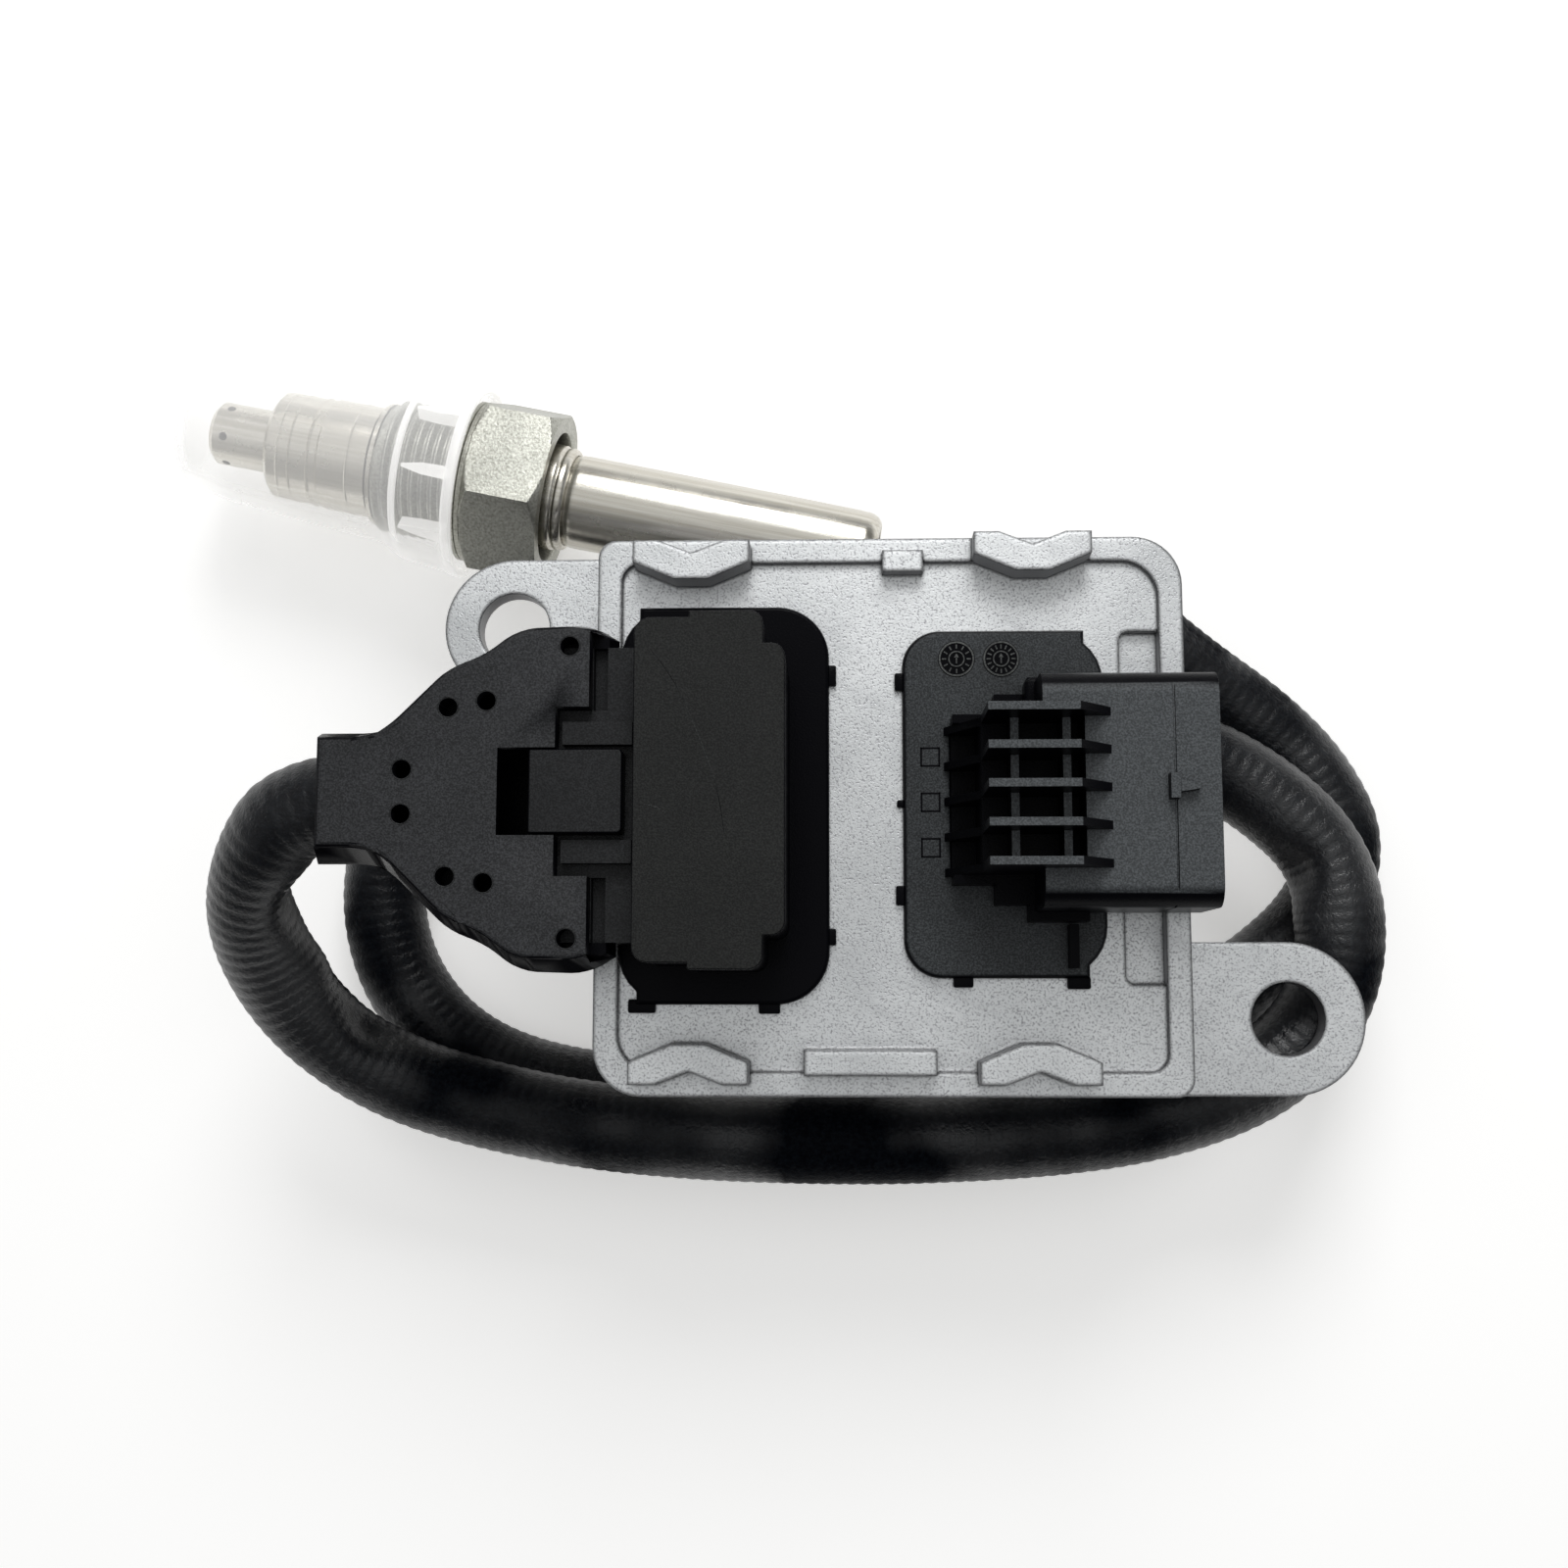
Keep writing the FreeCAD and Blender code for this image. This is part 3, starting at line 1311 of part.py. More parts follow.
def make_gland_nut():
    body = new_body("GlandNut", at_probe=True)
    sketch = new_sketch(body, "YZ_Plane")
    corner = P.hex_across / 2 / math.cos(math.pi / 6)
    spots = []
    for step in range(6):
        angle = math.radians(SIZES["hex_turn"] + 60 * step)
        spots.append((corner * math.sin(angle), corner * math.cos(angle)))
    draw_polygon(sketch, spots)
    pad = raise_pad(body, sketch, P.hex_long)
    pad.Reversed = True
    thread = [
        (-P.thread_end, 0),
        (-P.thread_end, P.thread_radius - 0.9),
        (-P.thread_end + 0.9, P.thread_radius),
        (-P.hex_long - P.neck_long, P.thread_radius),
        (-P.hex_long - P.neck_long, P.neck_radius),
        (-P.hex_long - P.washer_face_long, P.neck_radius),
        (-P.hex_long - P.washer_face_long, P.washer_face_radius),
        (-P.hex_long + 1, P.washer_face_radius),
        (-P.hex_long + 1, 0),
    ]
    revolve(body, thread)
    corner_value = corner + 1
    bevel = P.hex_bevel
    for end, inward in ((Size.of(0), -1), (-P.hex_long, 1)):
        ring = [
            (end - 0.5 * inward, corner_value),
            (end - 0.5 * inward, P.hex_across / 2 - 0.3),
            (end, P.hex_across / 2 - 0.3),
            (end + bevel * inward, corner),
            (end + bevel * inward, corner_value),
        ]
        revolve(body, ring, "PartDesign::Groove")
    bore = [
        (-P.thread_end - 1, 0),
        (Size.of(1), 0),
        (Size.of(1), P.nut_recess_radius),
        (-P.nut_recess_deep, P.nut_recess_radius),
        (-P.nut_recess_deep, P.nut_bore_radius),
        (-P.thread_end - 1, P.nut_bore_radius),
    ]
    revolve(body, bore, "PartDesign::Groove")
    keep(body, "gland_nut")


def ring_section(x_low, x_high, inner, outer):
    return [(x_low, inner), (x_high, inner), (x_high, outer), (x_low, outer)]


def make_ring(name, label, x_low, x_high, inner, outer, round_size=None):
    body = new_body(name, at_probe=True)
    revolve(body, ring_section(x_low, x_high, inner, outer))
    if round_size is not None:
        DOC.recompute()
        radius = Size.of(outer).value

        def outer_rim(edge, ends):
            return isinstance(edge.Curve, Part.Circle) and abs(edge.Curve.Radius - radius) < 0.01

        dress(body, outer_rim, round_size)
    keep(body, label)


def make_probe_shell():
    """The steel body that the gland nut turns on and presses to the exhaust boss."""
    body = new_body("ProbeShell", at_probe=True)
    profile = [
        (P.guard_start, P.shell_bore),
        (P.bead_end - 1, P.shell_bore),
        (P.bead_end - 1, P.sleeve_radius - P.sleeve_wall),
        (Size.of(-3), P.sleeve_radius - P.sleeve_wall),
        (Size.of(-3), P.shell_radius),
        (P.shoulder_x, P.shell_radius),
        (P.shoulder_x, P.shoulder_radius),
        (P.shoulder_x - P.shoulder_long / 2, P.shoulder_radius),
        (P.guard_start, P.guard_radius - P.guard_wall),
    ]
    revolve(body, profile)
    keep(body, "probe_shell")


def guard_profile(shrink, wall):
    """Half section of a stepped guard tube; shrink sets it inside the one before it."""
    x_base = P.guard_start
    x_mid = x_base - P.guard_long
    x_step = x_mid - P.guard_mid_long + shrink
    x_tip = P.guard_tip_x + shrink
    outer, mid, tip = (P.guard_radius - shrink, P.guard_mid_radius - shrink,
                       P.guard_tip_radius - shrink)
    return [
        (x_tip, P.guard_mouth_radius),
        (x_tip, tip),
        (x_step, tip),
        (x_step, mid),
        (x_mid, mid),
        (x_mid, outer),
        (x_base, outer),
        (x_base, outer - wall),
        (x_mid + wall, outer - wall),
        (x_mid + wall, mid - wall),
        (x_step + wall, mid - wall),
        (x_step + wall, tip - wall),
        (x_tip + wall, tip - wall),
        (x_tip + wall, P.guard_mouth_radius),
    ]


def guard_holes(body, x, radius, reach):
    """Six radial holes on one ring of a guard tube, each pair cut right across."""
    for step in range(3):
        sketch = new_sketch(body, "XY_Plane")
        turn_sketch(sketch, 60 * step + 20, reach)
        draw_circle(sketch, x, 0, radius)
        sink_pocket(body, sketch, reach * 2)


def turn_sketch(sketch, angle, reach):
    """Swings a sketch about the probe's axis, so that its normal points out at that angle."""
    swing = FreeCAD.Rotation(Vector(1, 0, 0), angle)
    sketch.AttachmentOffset = FreeCAD.Placement(swing.multVec(Vector(0, 0, reach.value)), swing)
    offset = swing.multVec(Vector(0, 0, 1))
    bind(sketch, "AttachmentOffset.Base.z", reach * offset.z)
    bind(sketch, "AttachmentOffset.Base.y", reach * offset.y)


def make_guards():
    outer = new_body("GuardOuter", at_probe=True)
    revolve(outer, guard_profile(Size.of(0), P.guard_wall))
    tip_ring = P.guard_tip_x + 2.6
    mid_ring = P.guard_start - P.guard_long - P.guard_mid_long + 2.2
    guard_holes(outer, tip_ring, P.guard_hole_radius, P.guard_tip_radius + 1)
    guard_holes(outer, mid_ring, P.guard_hole_radius, P.guard_mid_radius + 1)
    keep(outer, "guard_tube_outer")
    inner = new_body("GuardInner", at_probe=True)
    revolve(inner, guard_profile(P.inner_guard_gap, P.inner_guard_wall))
    keep(inner, "guard_tube_inner")


def make_probe_core():
    half = P.element_wide / 2
    thin = P.element_thick / 2
    element = make_box(-P.element_tip, P.element_tail, -half, half, -thin, thin)
    body = group([element])
    place_at_probe(body)
    keep(body, "sensing_element")
    bore = P.shell_bore - P.bush_gap
    front = P.guard_start + 1
    slot_half, slot_thin = half, thin
    for name, label, low, long in (
        ("FrontBush", "front_bush", front, P.bush_long),
        ("PowderRing", "powder_ring", front + P.bush_long, P.powder_long),
        ("ContactHolder", "contact_holder", Size.of(4), P.contact_long),
    ):
        radius = P.contact_radius if name == "ContactHolder" else bore
        bush = new_body(name, at_probe=True)
        revolve(bush, [(low, 0), (low + long, 0), (low + long, radius), (low, radius)])
        slot = rectangle(low - 1, low + long + 1, -slot_half, slot_half)
        cut_prism(bush, slot, -slot_thin, slot_thin)
        keep(bush, label)


def make_sleeve():
    body = new_body("ProbeSleeve", at_probe=True)
    inside = P.sleeve_radius - P.sleeve_wall
    roll = P.sleeve_end - P.sleeve_roll
    profile = [
        (Size.of(-2.5), inside),
        (roll, inside),
        (P.sleeve_end, inside - P.sleeve_roll_deep),
        (P.sleeve_end, P.sleeve_radius - P.sleeve_roll_deep),
        (roll, P.sleeve_radius),
        (Size.of(-2.5), P.sleeve_radius),
    ]
    revolve(body, profile)
    keep(body, "probe_sleeve")


def make_grommet():
    body = new_body("ProbeGrommet", at_probe=True)
    inside = P.sleeve_radius - P.sleeve_wall
    profile = [
        (P.sleeve_end - P.grommet_grip, 0),
        (P.grommet_end, 0),
        (P.grommet_end, P.grommet_radius),
        (P.grommet_end - P.grommet_rim, P.grommet_radius),
        (P.sleeve_end, P.grommet_neck),
        (P.sleeve_end - P.sleeve_roll, inside),
        (P.sleeve_end - P.grommet_grip, inside),
    ]
    revolve(body, profile)
    keep(body, "probe_grommet")


def cap_radius_at(x):
    """Outer radius of the cap's bell at a distance in front of the nut's rear face."""
    share = (P.cap_bell_x - x) / (P.cap_bell_x - P.cap_mouth_x)
    return P.cap_bell_radius + (P.cap_mouth_radius - P.cap_bell_radius) * share


def make_cap():
    body = new_body("TransportCap", at_probe=True)
    wall = P.cap_wall
    outside = [
        (-P.cap_end, 0),
        (-P.cap_end, P.cap_end_radius - 2),
        (-P.cap_end + 0.6, P.cap_end_radius - 0.6),
        (-P.cap_end + 2, P.cap_end_radius),
        (-P.cap_cone_x, P.cap_cone_radius - 0.4),
        (-P.cap_flare_x, P.cap_flare_radius),
        (-P.cap_bell_x, P.cap_bell_radius),
        (-P.cap_mouth_x, P.cap_mouth_radius),
    ]
    inside = [
        (-P.cap_mouth_x, P.cap_mouth_radius - wall),
        (-P.cap_bell_x, P.cap_bell_radius - wall),
        (-P.cap_flare_x, P.cap_flare_radius - wall),
        (-P.cap_cone_x, P.cap_cone_radius - 0.4 - wall),
        (-P.cap_end + wall, P.cap_end_radius - wall - 0.6),
        (-P.cap_end + wall, 0),
    ]
    revolve(body, outside + inside)
    fin_low = -P.cap_bell_x + 0.5
    fin_high = -P.cap_mouth_x - 1.8
    for step in range(3):
        DOC.recompute()
        sketch = new_sketch(body, "XY_Plane")
        half = P.fin_thick / 2
        inner = P.thread_radius + P.fin_gap
        near, far = cap_radius_at(P.cap_bell_x - 0.5), cap_radius_at(P.cap_mouth_x + 1.8)
        for side in (-1, 1):
            fin = [
                (fin_low, inner * side),
                (fin_high, inner * side),
                (fin_high, (far - wall / 2) * side),
                (fin_low, (near - wall / 2) * side),
            ]
            draw_polygon(sketch, fin)
        pad = raise_pad(body, sketch, P.fin_thick)
        pad.Midplane = True
        sketch.AttachmentOffset = FreeCAD.Placement(
            Vector(0, 0, 0), FreeCAD.Rotation(Vector(1, 0, 0), 60 * step + 15))
    keep(body, "transport_cap")


def check_all():
    """Stops before anything is written if a step failed or a shape is empty or broken."""
    DOC.recompute()
    broken = [item.Name for item in DOC.Objects if {"Invalid", "Error"} & set(item.State)]
    for node in NODES:
        if node.Shape.isNull() or not node.Shape.isValid() or node.Shape.Volume <= 0:
            broken.append(node.Label)
    if broken:
        raise RuntimeError("failed: " + ", ".join(broken))


def write_all():
    os.makedirs("parts", exist_ok=True)
    for node in NODES:
        node.Shape.exportStep(f"parts/{node.Label}.step")
        print(f"{node.Label}: {len(node.Shape.Solids)} solid(s), {node.Shape.Volume:.0f} mm3")


def main():
    fill_sheet()
    derived_sizes()
    make_housing()
    make_base_plate()
    make_base_gasket()
    make_base_screws()
    make_circuit_board()
    make_board_pieces()
    make_sensor_header()
    make_sensor_pins()
    header_seal("SensorHeaderSeal", "sensor_header_seal", left_spigot())
    make_power_header()
    make_power_pins()
    header_seal("PowerHeaderSeal", "power_header_seal", power_spigot())
    make_shell_top()
    make_shell_bottom()
    make_plug_body()
    make_plug_terminals()
    make_plug_seal()
    make_latch()
    make_conduit()
    make_gland_nut()
    make_ring("CrimpRing", "crimp_ring", -P.bead_start, P.bead_end, P.sleeve_radius,
              P.bead_radius, 0.5)
    make_probe_shell()
    make_guards()
    make_probe_core()
    make_sleeve()
    make_grommet()
    make_cap()
    check_all()
    write_all()


main()
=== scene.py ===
"""Exhaust gas sensor with its control unit, as it lay when photographed from above."""
import json
import math

import bmesh
import bpy
from mathutils import Matrix, Vector, noise


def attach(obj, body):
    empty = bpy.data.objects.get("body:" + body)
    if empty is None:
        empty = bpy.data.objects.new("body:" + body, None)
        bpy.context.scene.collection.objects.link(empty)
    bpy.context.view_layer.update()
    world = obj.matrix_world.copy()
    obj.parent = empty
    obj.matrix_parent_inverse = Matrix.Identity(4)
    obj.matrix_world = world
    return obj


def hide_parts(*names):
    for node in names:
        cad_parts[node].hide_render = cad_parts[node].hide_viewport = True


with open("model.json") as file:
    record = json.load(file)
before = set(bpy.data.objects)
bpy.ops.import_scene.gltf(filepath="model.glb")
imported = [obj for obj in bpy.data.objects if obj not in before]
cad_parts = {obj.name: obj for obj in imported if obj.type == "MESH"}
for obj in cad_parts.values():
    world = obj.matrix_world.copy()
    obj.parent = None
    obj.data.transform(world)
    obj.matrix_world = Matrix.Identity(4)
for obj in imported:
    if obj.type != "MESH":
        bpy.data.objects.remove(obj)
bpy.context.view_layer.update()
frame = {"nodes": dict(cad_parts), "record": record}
MM = 0.001

# Shared places, in millimetres, in the model's frame
FLOOR_Z = -25.6
LINK_Y = 1.0
PANEL_Z = 15.1
FLANGE_Z = 16.7
TAB_LOW = PANEL_Z - 0.1
TAB_TOP = 16.1
PLUG_TOP = 31.0
TOWER_TOP = 34.0
PEG_HOLES = [(x, LINK_Y + side * offset) for side in (-1, 1)
             for x, offset in ((-41.2, 18.3), (-51.6, 11.4), (-56.4, 10.6), (-62.1, 2.8))]
PROBE_ORIGIN = (-50.0, 50.4, -10.4)
PROBE_TURN = math.radians(-11.7)

# The camera's place in millimetres, and the picture's right, up and back in the model's frame
CAMERA_PLACE = (-7.12, -24.74, 249.5)
CAMERA_RIGHT = (0.99946, 0.00026, -0.03280)
CAMERA_UP = (0.00369, 0.99273, 0.12027)
CAMERA_BACK = (0.03259, -0.12032, 0.99220)

# The conduit's route, in metres, from inside the plug's cover to the probe's grommet
ROUTE = [
    (-0.0663, 0.0010, 0.0230),
    (-0.0776, 0.0010, 0.0230),
    (-0.0842, -0.0069, 0.0180),
    (-0.0874, -0.0153, 0.0095),
    (-0.0835, -0.0260, 0.0005),
    (-0.0735, -0.0345, -0.0050),
    (-0.0600, -0.0393, -0.0065),
    (-0.0400, -0.0432, -0.0065),
    (-0.0080, -0.0448, -0.0065),
    (0.0240, -0.0434, -0.0065),
    (0.0420, -0.0398, -0.0065),
    (0.0545, -0.0340, -0.0065),
    (0.0623, -0.0246, -0.0065),
    (0.0642, -0.0130, -0.0065),
    (0.0614, -0.0032, -0.0065),
    (0.0536, 0.0046, -0.0065),
    (0.0430, 0.0106, -0.0065),
    (0.0250, 0.0156, -0.0075),
    (0.0000, 0.0186, -0.0125),
    (-0.0250, 0.0200, -0.0170),
    (-0.0470, 0.0196, -0.01925),
    (-0.0625, 0.0155, -0.01925),
    (-0.0735, 0.0060, -0.01925),
    (-0.0775, -0.0070, -0.01925),
    (-0.0750, -0.0200, -0.01925),
    (-0.0670, -0.0305, -0.01925),
    (-0.0550, -0.0368, -0.01925),
    (-0.0370, -0.0396, -0.01925),
    (-0.0085, -0.0392, -0.01925),
    (0.0180, -0.0362, -0.01925),
    (0.0390, -0.0298, -0.01925),
    (0.0540, -0.0214, -0.01925),
    (0.0644, -0.0122, -0.01925),
    (0.0682, -0.0014, -0.01925),
    (0.0639, 0.0084, -0.01925),
    (0.0566, 0.0164, -0.01925),
    (0.0450, 0.0242, -0.0170),
    (0.03177, 0.03347, -0.0104),
    (0.01904, 0.03610, -0.0104),
]
CONDUIT_RADIUS = 6.25
RIB_PITCH = 1.85
RIB_DEPTH = 0.11
WOBBLE_ROOM = 0.07


# Camera, floor and light

def make_camera():
    """The photograph's own view: almost straight down, from above the unit's lower edge."""
    data = bpy.data.cameras.new("camera")
    data.lens = 40.84
    data.sensor_width = 36.0
    data.clip_start = 0.01
    camera = bpy.data.objects.new("camera", data)
    turn = Matrix((CAMERA_RIGHT, CAMERA_UP, CAMERA_BACK)).transposed().to_4x4()
    camera.matrix_world = Matrix.Translation(Vector(CAMERA_PLACE) * MM) @ turn
    bpy.context.collection.objects.link(camera)
    bpy.context.scene.camera = camera


def make_floor():
    """A white floor that glows only for what sees it, so that it keeps the shadow."""
    mesh = bpy.data.meshes.new("floor")
    half, z = 1.6, FLOOR_Z * MM
    corners = [(-half, -half, z), (half, -half, z), (half, half, z), (-half, half, z)]
    mesh.from_pydata(corners, [], [(0, 1, 2, 3)])
    floor = bpy.data.objects.new("floor", mesh)
    bpy.context.collection.objects.link(floor)
    material, nodes, links, shader = new_material("floor_white", (0.95, 0.95, 0.95), 0.0, 0.8)
    shader.inputs["Specular IOR Level"].default_value = 0.1
    shader.inputs["Emission Color"].default_value = WARM_WHITE
    path = nodes.new("ShaderNodeLightPath")
    seen = path.outputs["Is Camera Ray"]
    for ray in ("Is Glossy Ray", "Is Transmission Ray"):
        seen = calculated(nodes, links, "MAXIMUM", seen, path.outputs[ray])
    links.new(mapped(nodes, links, seen, 0, 1, 0, 0.43), shader.inputs["Emission Strength"])
    mesh.materials.append(material)


def add_lamp(name, place, aim, size, watts):
    data = bpy.data.lights.new(name, "AREA")
    data.shape = "DISK"
    data.size = size
    data.energy = watts
    lamp = bpy.data.objects.new(name, data)
    lamp.location = place
    direction = Vector(aim) - Vector(place)
    lamp.rotation_euler = direction.to_track_quat("-Z", "Y").to_euler()
    bpy.context.collection.objects.link(lamp)


def make_light():
    """A studio that darkens between the zenith and the horizon, and one lamp behind the unit."""
    world = bpy.data.worlds.new("studio")
    bpy.context.scene.world = world
    world.use_nodes = True
    nodes, links = world.node_tree.nodes, world.node_tree.links
    nodes.clear()
    output = nodes.new("ShaderNodeOutputWorld")
    sky = nodes.new("ShaderNodeBackground")
    sky.inputs["Strength"].default_value = 0.80
    height = nodes.new("ShaderNodeValToRGB")
    stops = [(0.0, 1.0), (0.10, 0.95), (0.24, 0.42), (0.58, 0.24), (0.80, 0.62), (0.96, 0.98)]
    ramp = height.color_ramp
    while len(ramp.elements) < len(stops):
        ramp.elements.new(0.5)
    for element, (place, value) in zip(ramp.elements, stops):
        element.position = place
        element.color = (value * 0.985, value * 0.995, value, 1)
    links.new(axis_value(nodes, links, "Generated", "Z"), height.inputs["Fac"])
    front = mapped(nodes, links, axis_value(nodes, links, "Generated", "Y"), -0.8, 0.0, 0.40, 1.0)
    shade = nodes.new("ShaderNodeVectorMath")
    shade.operation = "SCALE"
    links.new(height.outputs["Color"], shade.inputs[0])
    links.new(front, shade.inputs["Scale"])
    links.new(shade.outputs[0], sky.inputs["Color"])
    links.new(sky.outputs[0], output.inputs["Surface"])
    add_lamp("key", (0.03, 0.52, 0.47), (-0.005, 0, 0), 0.36, 2.1)


# Materials

# Painted shade along the casting's edges
EDGE_SHADE_BLACK = (0.030, 0.030, 0.034)
# Painted shade on the black plastics' side faces
SHADED_SIDE_BLACK = (0.0026, 0.0026, 0.0040)
WARM_WHITE = (1.0, 0.99, 0.97, 1)
CAP_GLOW = 0.34
ABOVE_ALL = 90.0
STEP_BLUR = 0.1


def new_material(name, color, metallic, roughness, **sockets):
    material = bpy.data.materials.new(name)
    material.use_nodes = True
    nodes, links = material.node_tree.nodes, material.node_tree.links
    shader = nodes["Principled BSDF"]
    shader.inputs["Base Color"].default_value = (*color, 1)
    shader.inputs["Metallic"].default_value = metallic
    shader.inputs["Roughness"].default_value = roughness
    for socket, value in sockets.items():
        shader.inputs[socket.replace("_", " ")].default_value = value
    return material, nodes, links, shader


def place_node(nodes, links, stretch=(1, 1, 1), turn=0.0):
    """Object coordinates, optionally turned about Z and stretched."""
    coordinate = nodes.new("ShaderNodeTexCoord")
    mapping = nodes.new("ShaderNodeMapping")
    mapping.vector_type = "POINT"
    mapping.inputs["Rotation"].default_value = (0, 0, turn)
    links.new(coordinate.outputs["Object"], mapping.inputs["Vector"])
    scale = nodes.new("ShaderNodeVectorMath")
    scale.operation = "MULTIPLY"
    scale.inputs[1].default_value = stretch
    links.new(mapping.outputs[0], scale.inputs[0])
    return scale.outputs[0]


def noise_value(nodes, links, place, scale, detail=3.0, rough=0.6):
    texture = nodes.new("ShaderNodeTexNoise")
    texture.inputs["Scale"].default_value = scale
    texture.inputs["Detail"].default_value = detail
    texture.inputs["Roughness"].default_value = rough
    links.new(place, texture.inputs["Vector"])
    return texture.outputs["Fac"]


def mapped(nodes, links, value, low, high, to_low, to_high):
    span = nodes.new("ShaderNodeMapRange")
    for socket, number in (("From Min", low), ("From Max", high), ("To Min", to_low),
                           ("To Max", to_high)):
        span.inputs[socket].default_value = number
    links.new(value, span.inputs["Value"])
    return span.outputs["Result"]


def calculated(nodes, links, operation, *values):
    """The result of a mathematical operation on linked values."""
    result = nodes.new("ShaderNodeMath")
    result.operation = operation
    for value, socket in zip(values, result.inputs):
        links.new(value, socket)
    return result.outputs[0]


def axis_value(nodes, links, kind, axis):
    """One axis of a texture coordinate."""
    coordinate = nodes.new("ShaderNodeTexCoord")
    split = nodes.new("ShaderNodeSeparateXYZ")
    links.new(coordinate.outputs[kind], split.inputs[0])
    return split.outputs[axis]


def scaled(color, factor):
    return tuple(channel * factor for channel in color)


def mixed_color(nodes, links, factor, first, second):
    mix = nodes.new("ShaderNodeMix")
    mix.data_type = "RGBA"
    links.new(factor, mix.inputs[0])
    for socket, value in ((6, first), (7, second)):
        if isinstance(value, tuple):
            mix.inputs[socket].default_value = (*value, 1)
        else:
            links.new(value, mix.inputs[socket])
    return mix.outputs[2]


def rounded_normal(nodes, radius):
    """The surface's direction with its edges rounded by a radius in millimetres."""
    bevel = nodes.new("ShaderNodeBevel")
    bevel.samples = 6
    bevel.inputs["Radius"].default_value = radius * MM
    return bevel.outputs["Normal"]


def near_edges(nodes, links, rounded_way, low, high):
    """One along a fixed piece's edges, nought away from them."""
    coordinate = nodes.new("ShaderNodeTexCoord")
    match = nodes.new("ShaderNodeVectorMath")
    match.operation = "DOT_PRODUCT"
    links.new(coordinate.outputs["Normal"], match.inputs[0])
    links.new(rounded_way, match.inputs[1])
    return mapped(nodes, links, match.outputs["Value"], low, high, 1, 0)


def add_bump(nodes, links, shader, layers, normal=None):
    """Stacks bump layers, each a value with its height in millimetres."""
    for value, height in layers:
        bump = nodes.new("ShaderNodeBump")
        bump.inputs["Strength"].default_value = 1.0
        bump.inputs["Distance"].default_value = height * MM
        links.new(value, bump.inputs["Height"])
        if normal is not None:
            links.new(normal, bump.inputs["Normal"])
        normal = bump.outputs["Normal"]
    links.new(normal, shader.inputs["Normal"])


def cast_aluminium():
    """Die-cast surface: cloudy, finely pitted, with darker flow marks, painted shade on its steep
    walls and a painted dark line along its edges.
    """
    material, nodes, links, shader = new_material("cast_aluminium", (0.70, 0.71, 0.73), 0.85, 0.42)
    place = place_node(nodes, links)
    cloud = noise_value(nodes, links, place, 42, 5, 0.62)
    pits = noise_value(nodes, links, place, 3300, 2, 0.6)
    grain = noise_value(nodes, links, place, 900, 4, 0.7)
    flow = noise_value(nodes, links, place_node(nodes, links, (45, 160, 45), 0.5), 1.0, 5, 0.6)
    patches = mapped(nodes, links, cloud, 0.35, 0.65, 0, 1)
    base = mixed_color(nodes, links, patches, (0.64, 0.655, 0.66), (0.86, 0.875, 0.88))
    marks = mapped(nodes, links, flow, 0.56, 0.72, 0, 0.45)
    base = mixed_color(nodes, links, marks, base, (0.55, 0.56, 0.57))
    dots = mapped(nodes, links, pits, 0.30, 0.50, 0, 1)
    color = mixed_color(nodes, links, dots, (0.40, 0.40, 0.42), base)
    # Painted shade: steep walls take a darker colour for the dark surroundings they reflect.
    steep = slope(nodes, links, 0.72, 0.985)
    color = mixed_color(nodes, links, steep, color, (0.27, 0.27, 0.28))
    soft = rounded_normal(nodes, 0.85)
    # Painted shade: a near-black line along the edges, for the dark reflection on their rounding.
    links.new(mixed_color(nodes, links, near_edges(nodes, links, soft, 0.83, 0.975), color,
                          EDGE_SHADE_BLACK), shader.inputs["Base Color"])
    links.new(mapped(nodes, links, cloud, 0.3, 0.7, 0.34, 0.50), shader.inputs["Roughness"])
    add_bump(nodes, links, shader, [(grain, 0.04), (dots, 0.02)], soft)
    return material


def slope(nodes, links, steep, level):
    """One on faces that stand steep, nought on level ones, whichever way up they lie."""
    plain = calculated(nodes, links, "ABSOLUTE", axis_value(nodes, links, "Normal", "Z"))
    return mapped(nodes, links, plain, steep, level, 1, 0)


def height_above(nodes, links, low, high, to_low, to_high):
    """A value that changes with the height over the mounting plane, in millimetres."""
    height = axis_value(nodes, links, "Object", "Z")
    return mapped(nodes, links, height, low * MM, high * MM, to_low, to_high)


def facing_up(nodes, links, above):
    """One on faces that look up and lie above a level in millimetres, nought on the others."""
    level = mapped(nodes, links, axis_value(nodes, links, "Normal", "Z"), 0.88, 0.995, 0, 1)
    over = height_above(nodes, links, above - STEP_BLUR, above + STEP_BLUR, 0, 1)
    return calculated(nodes, links, "MULTIPLY", level, over)


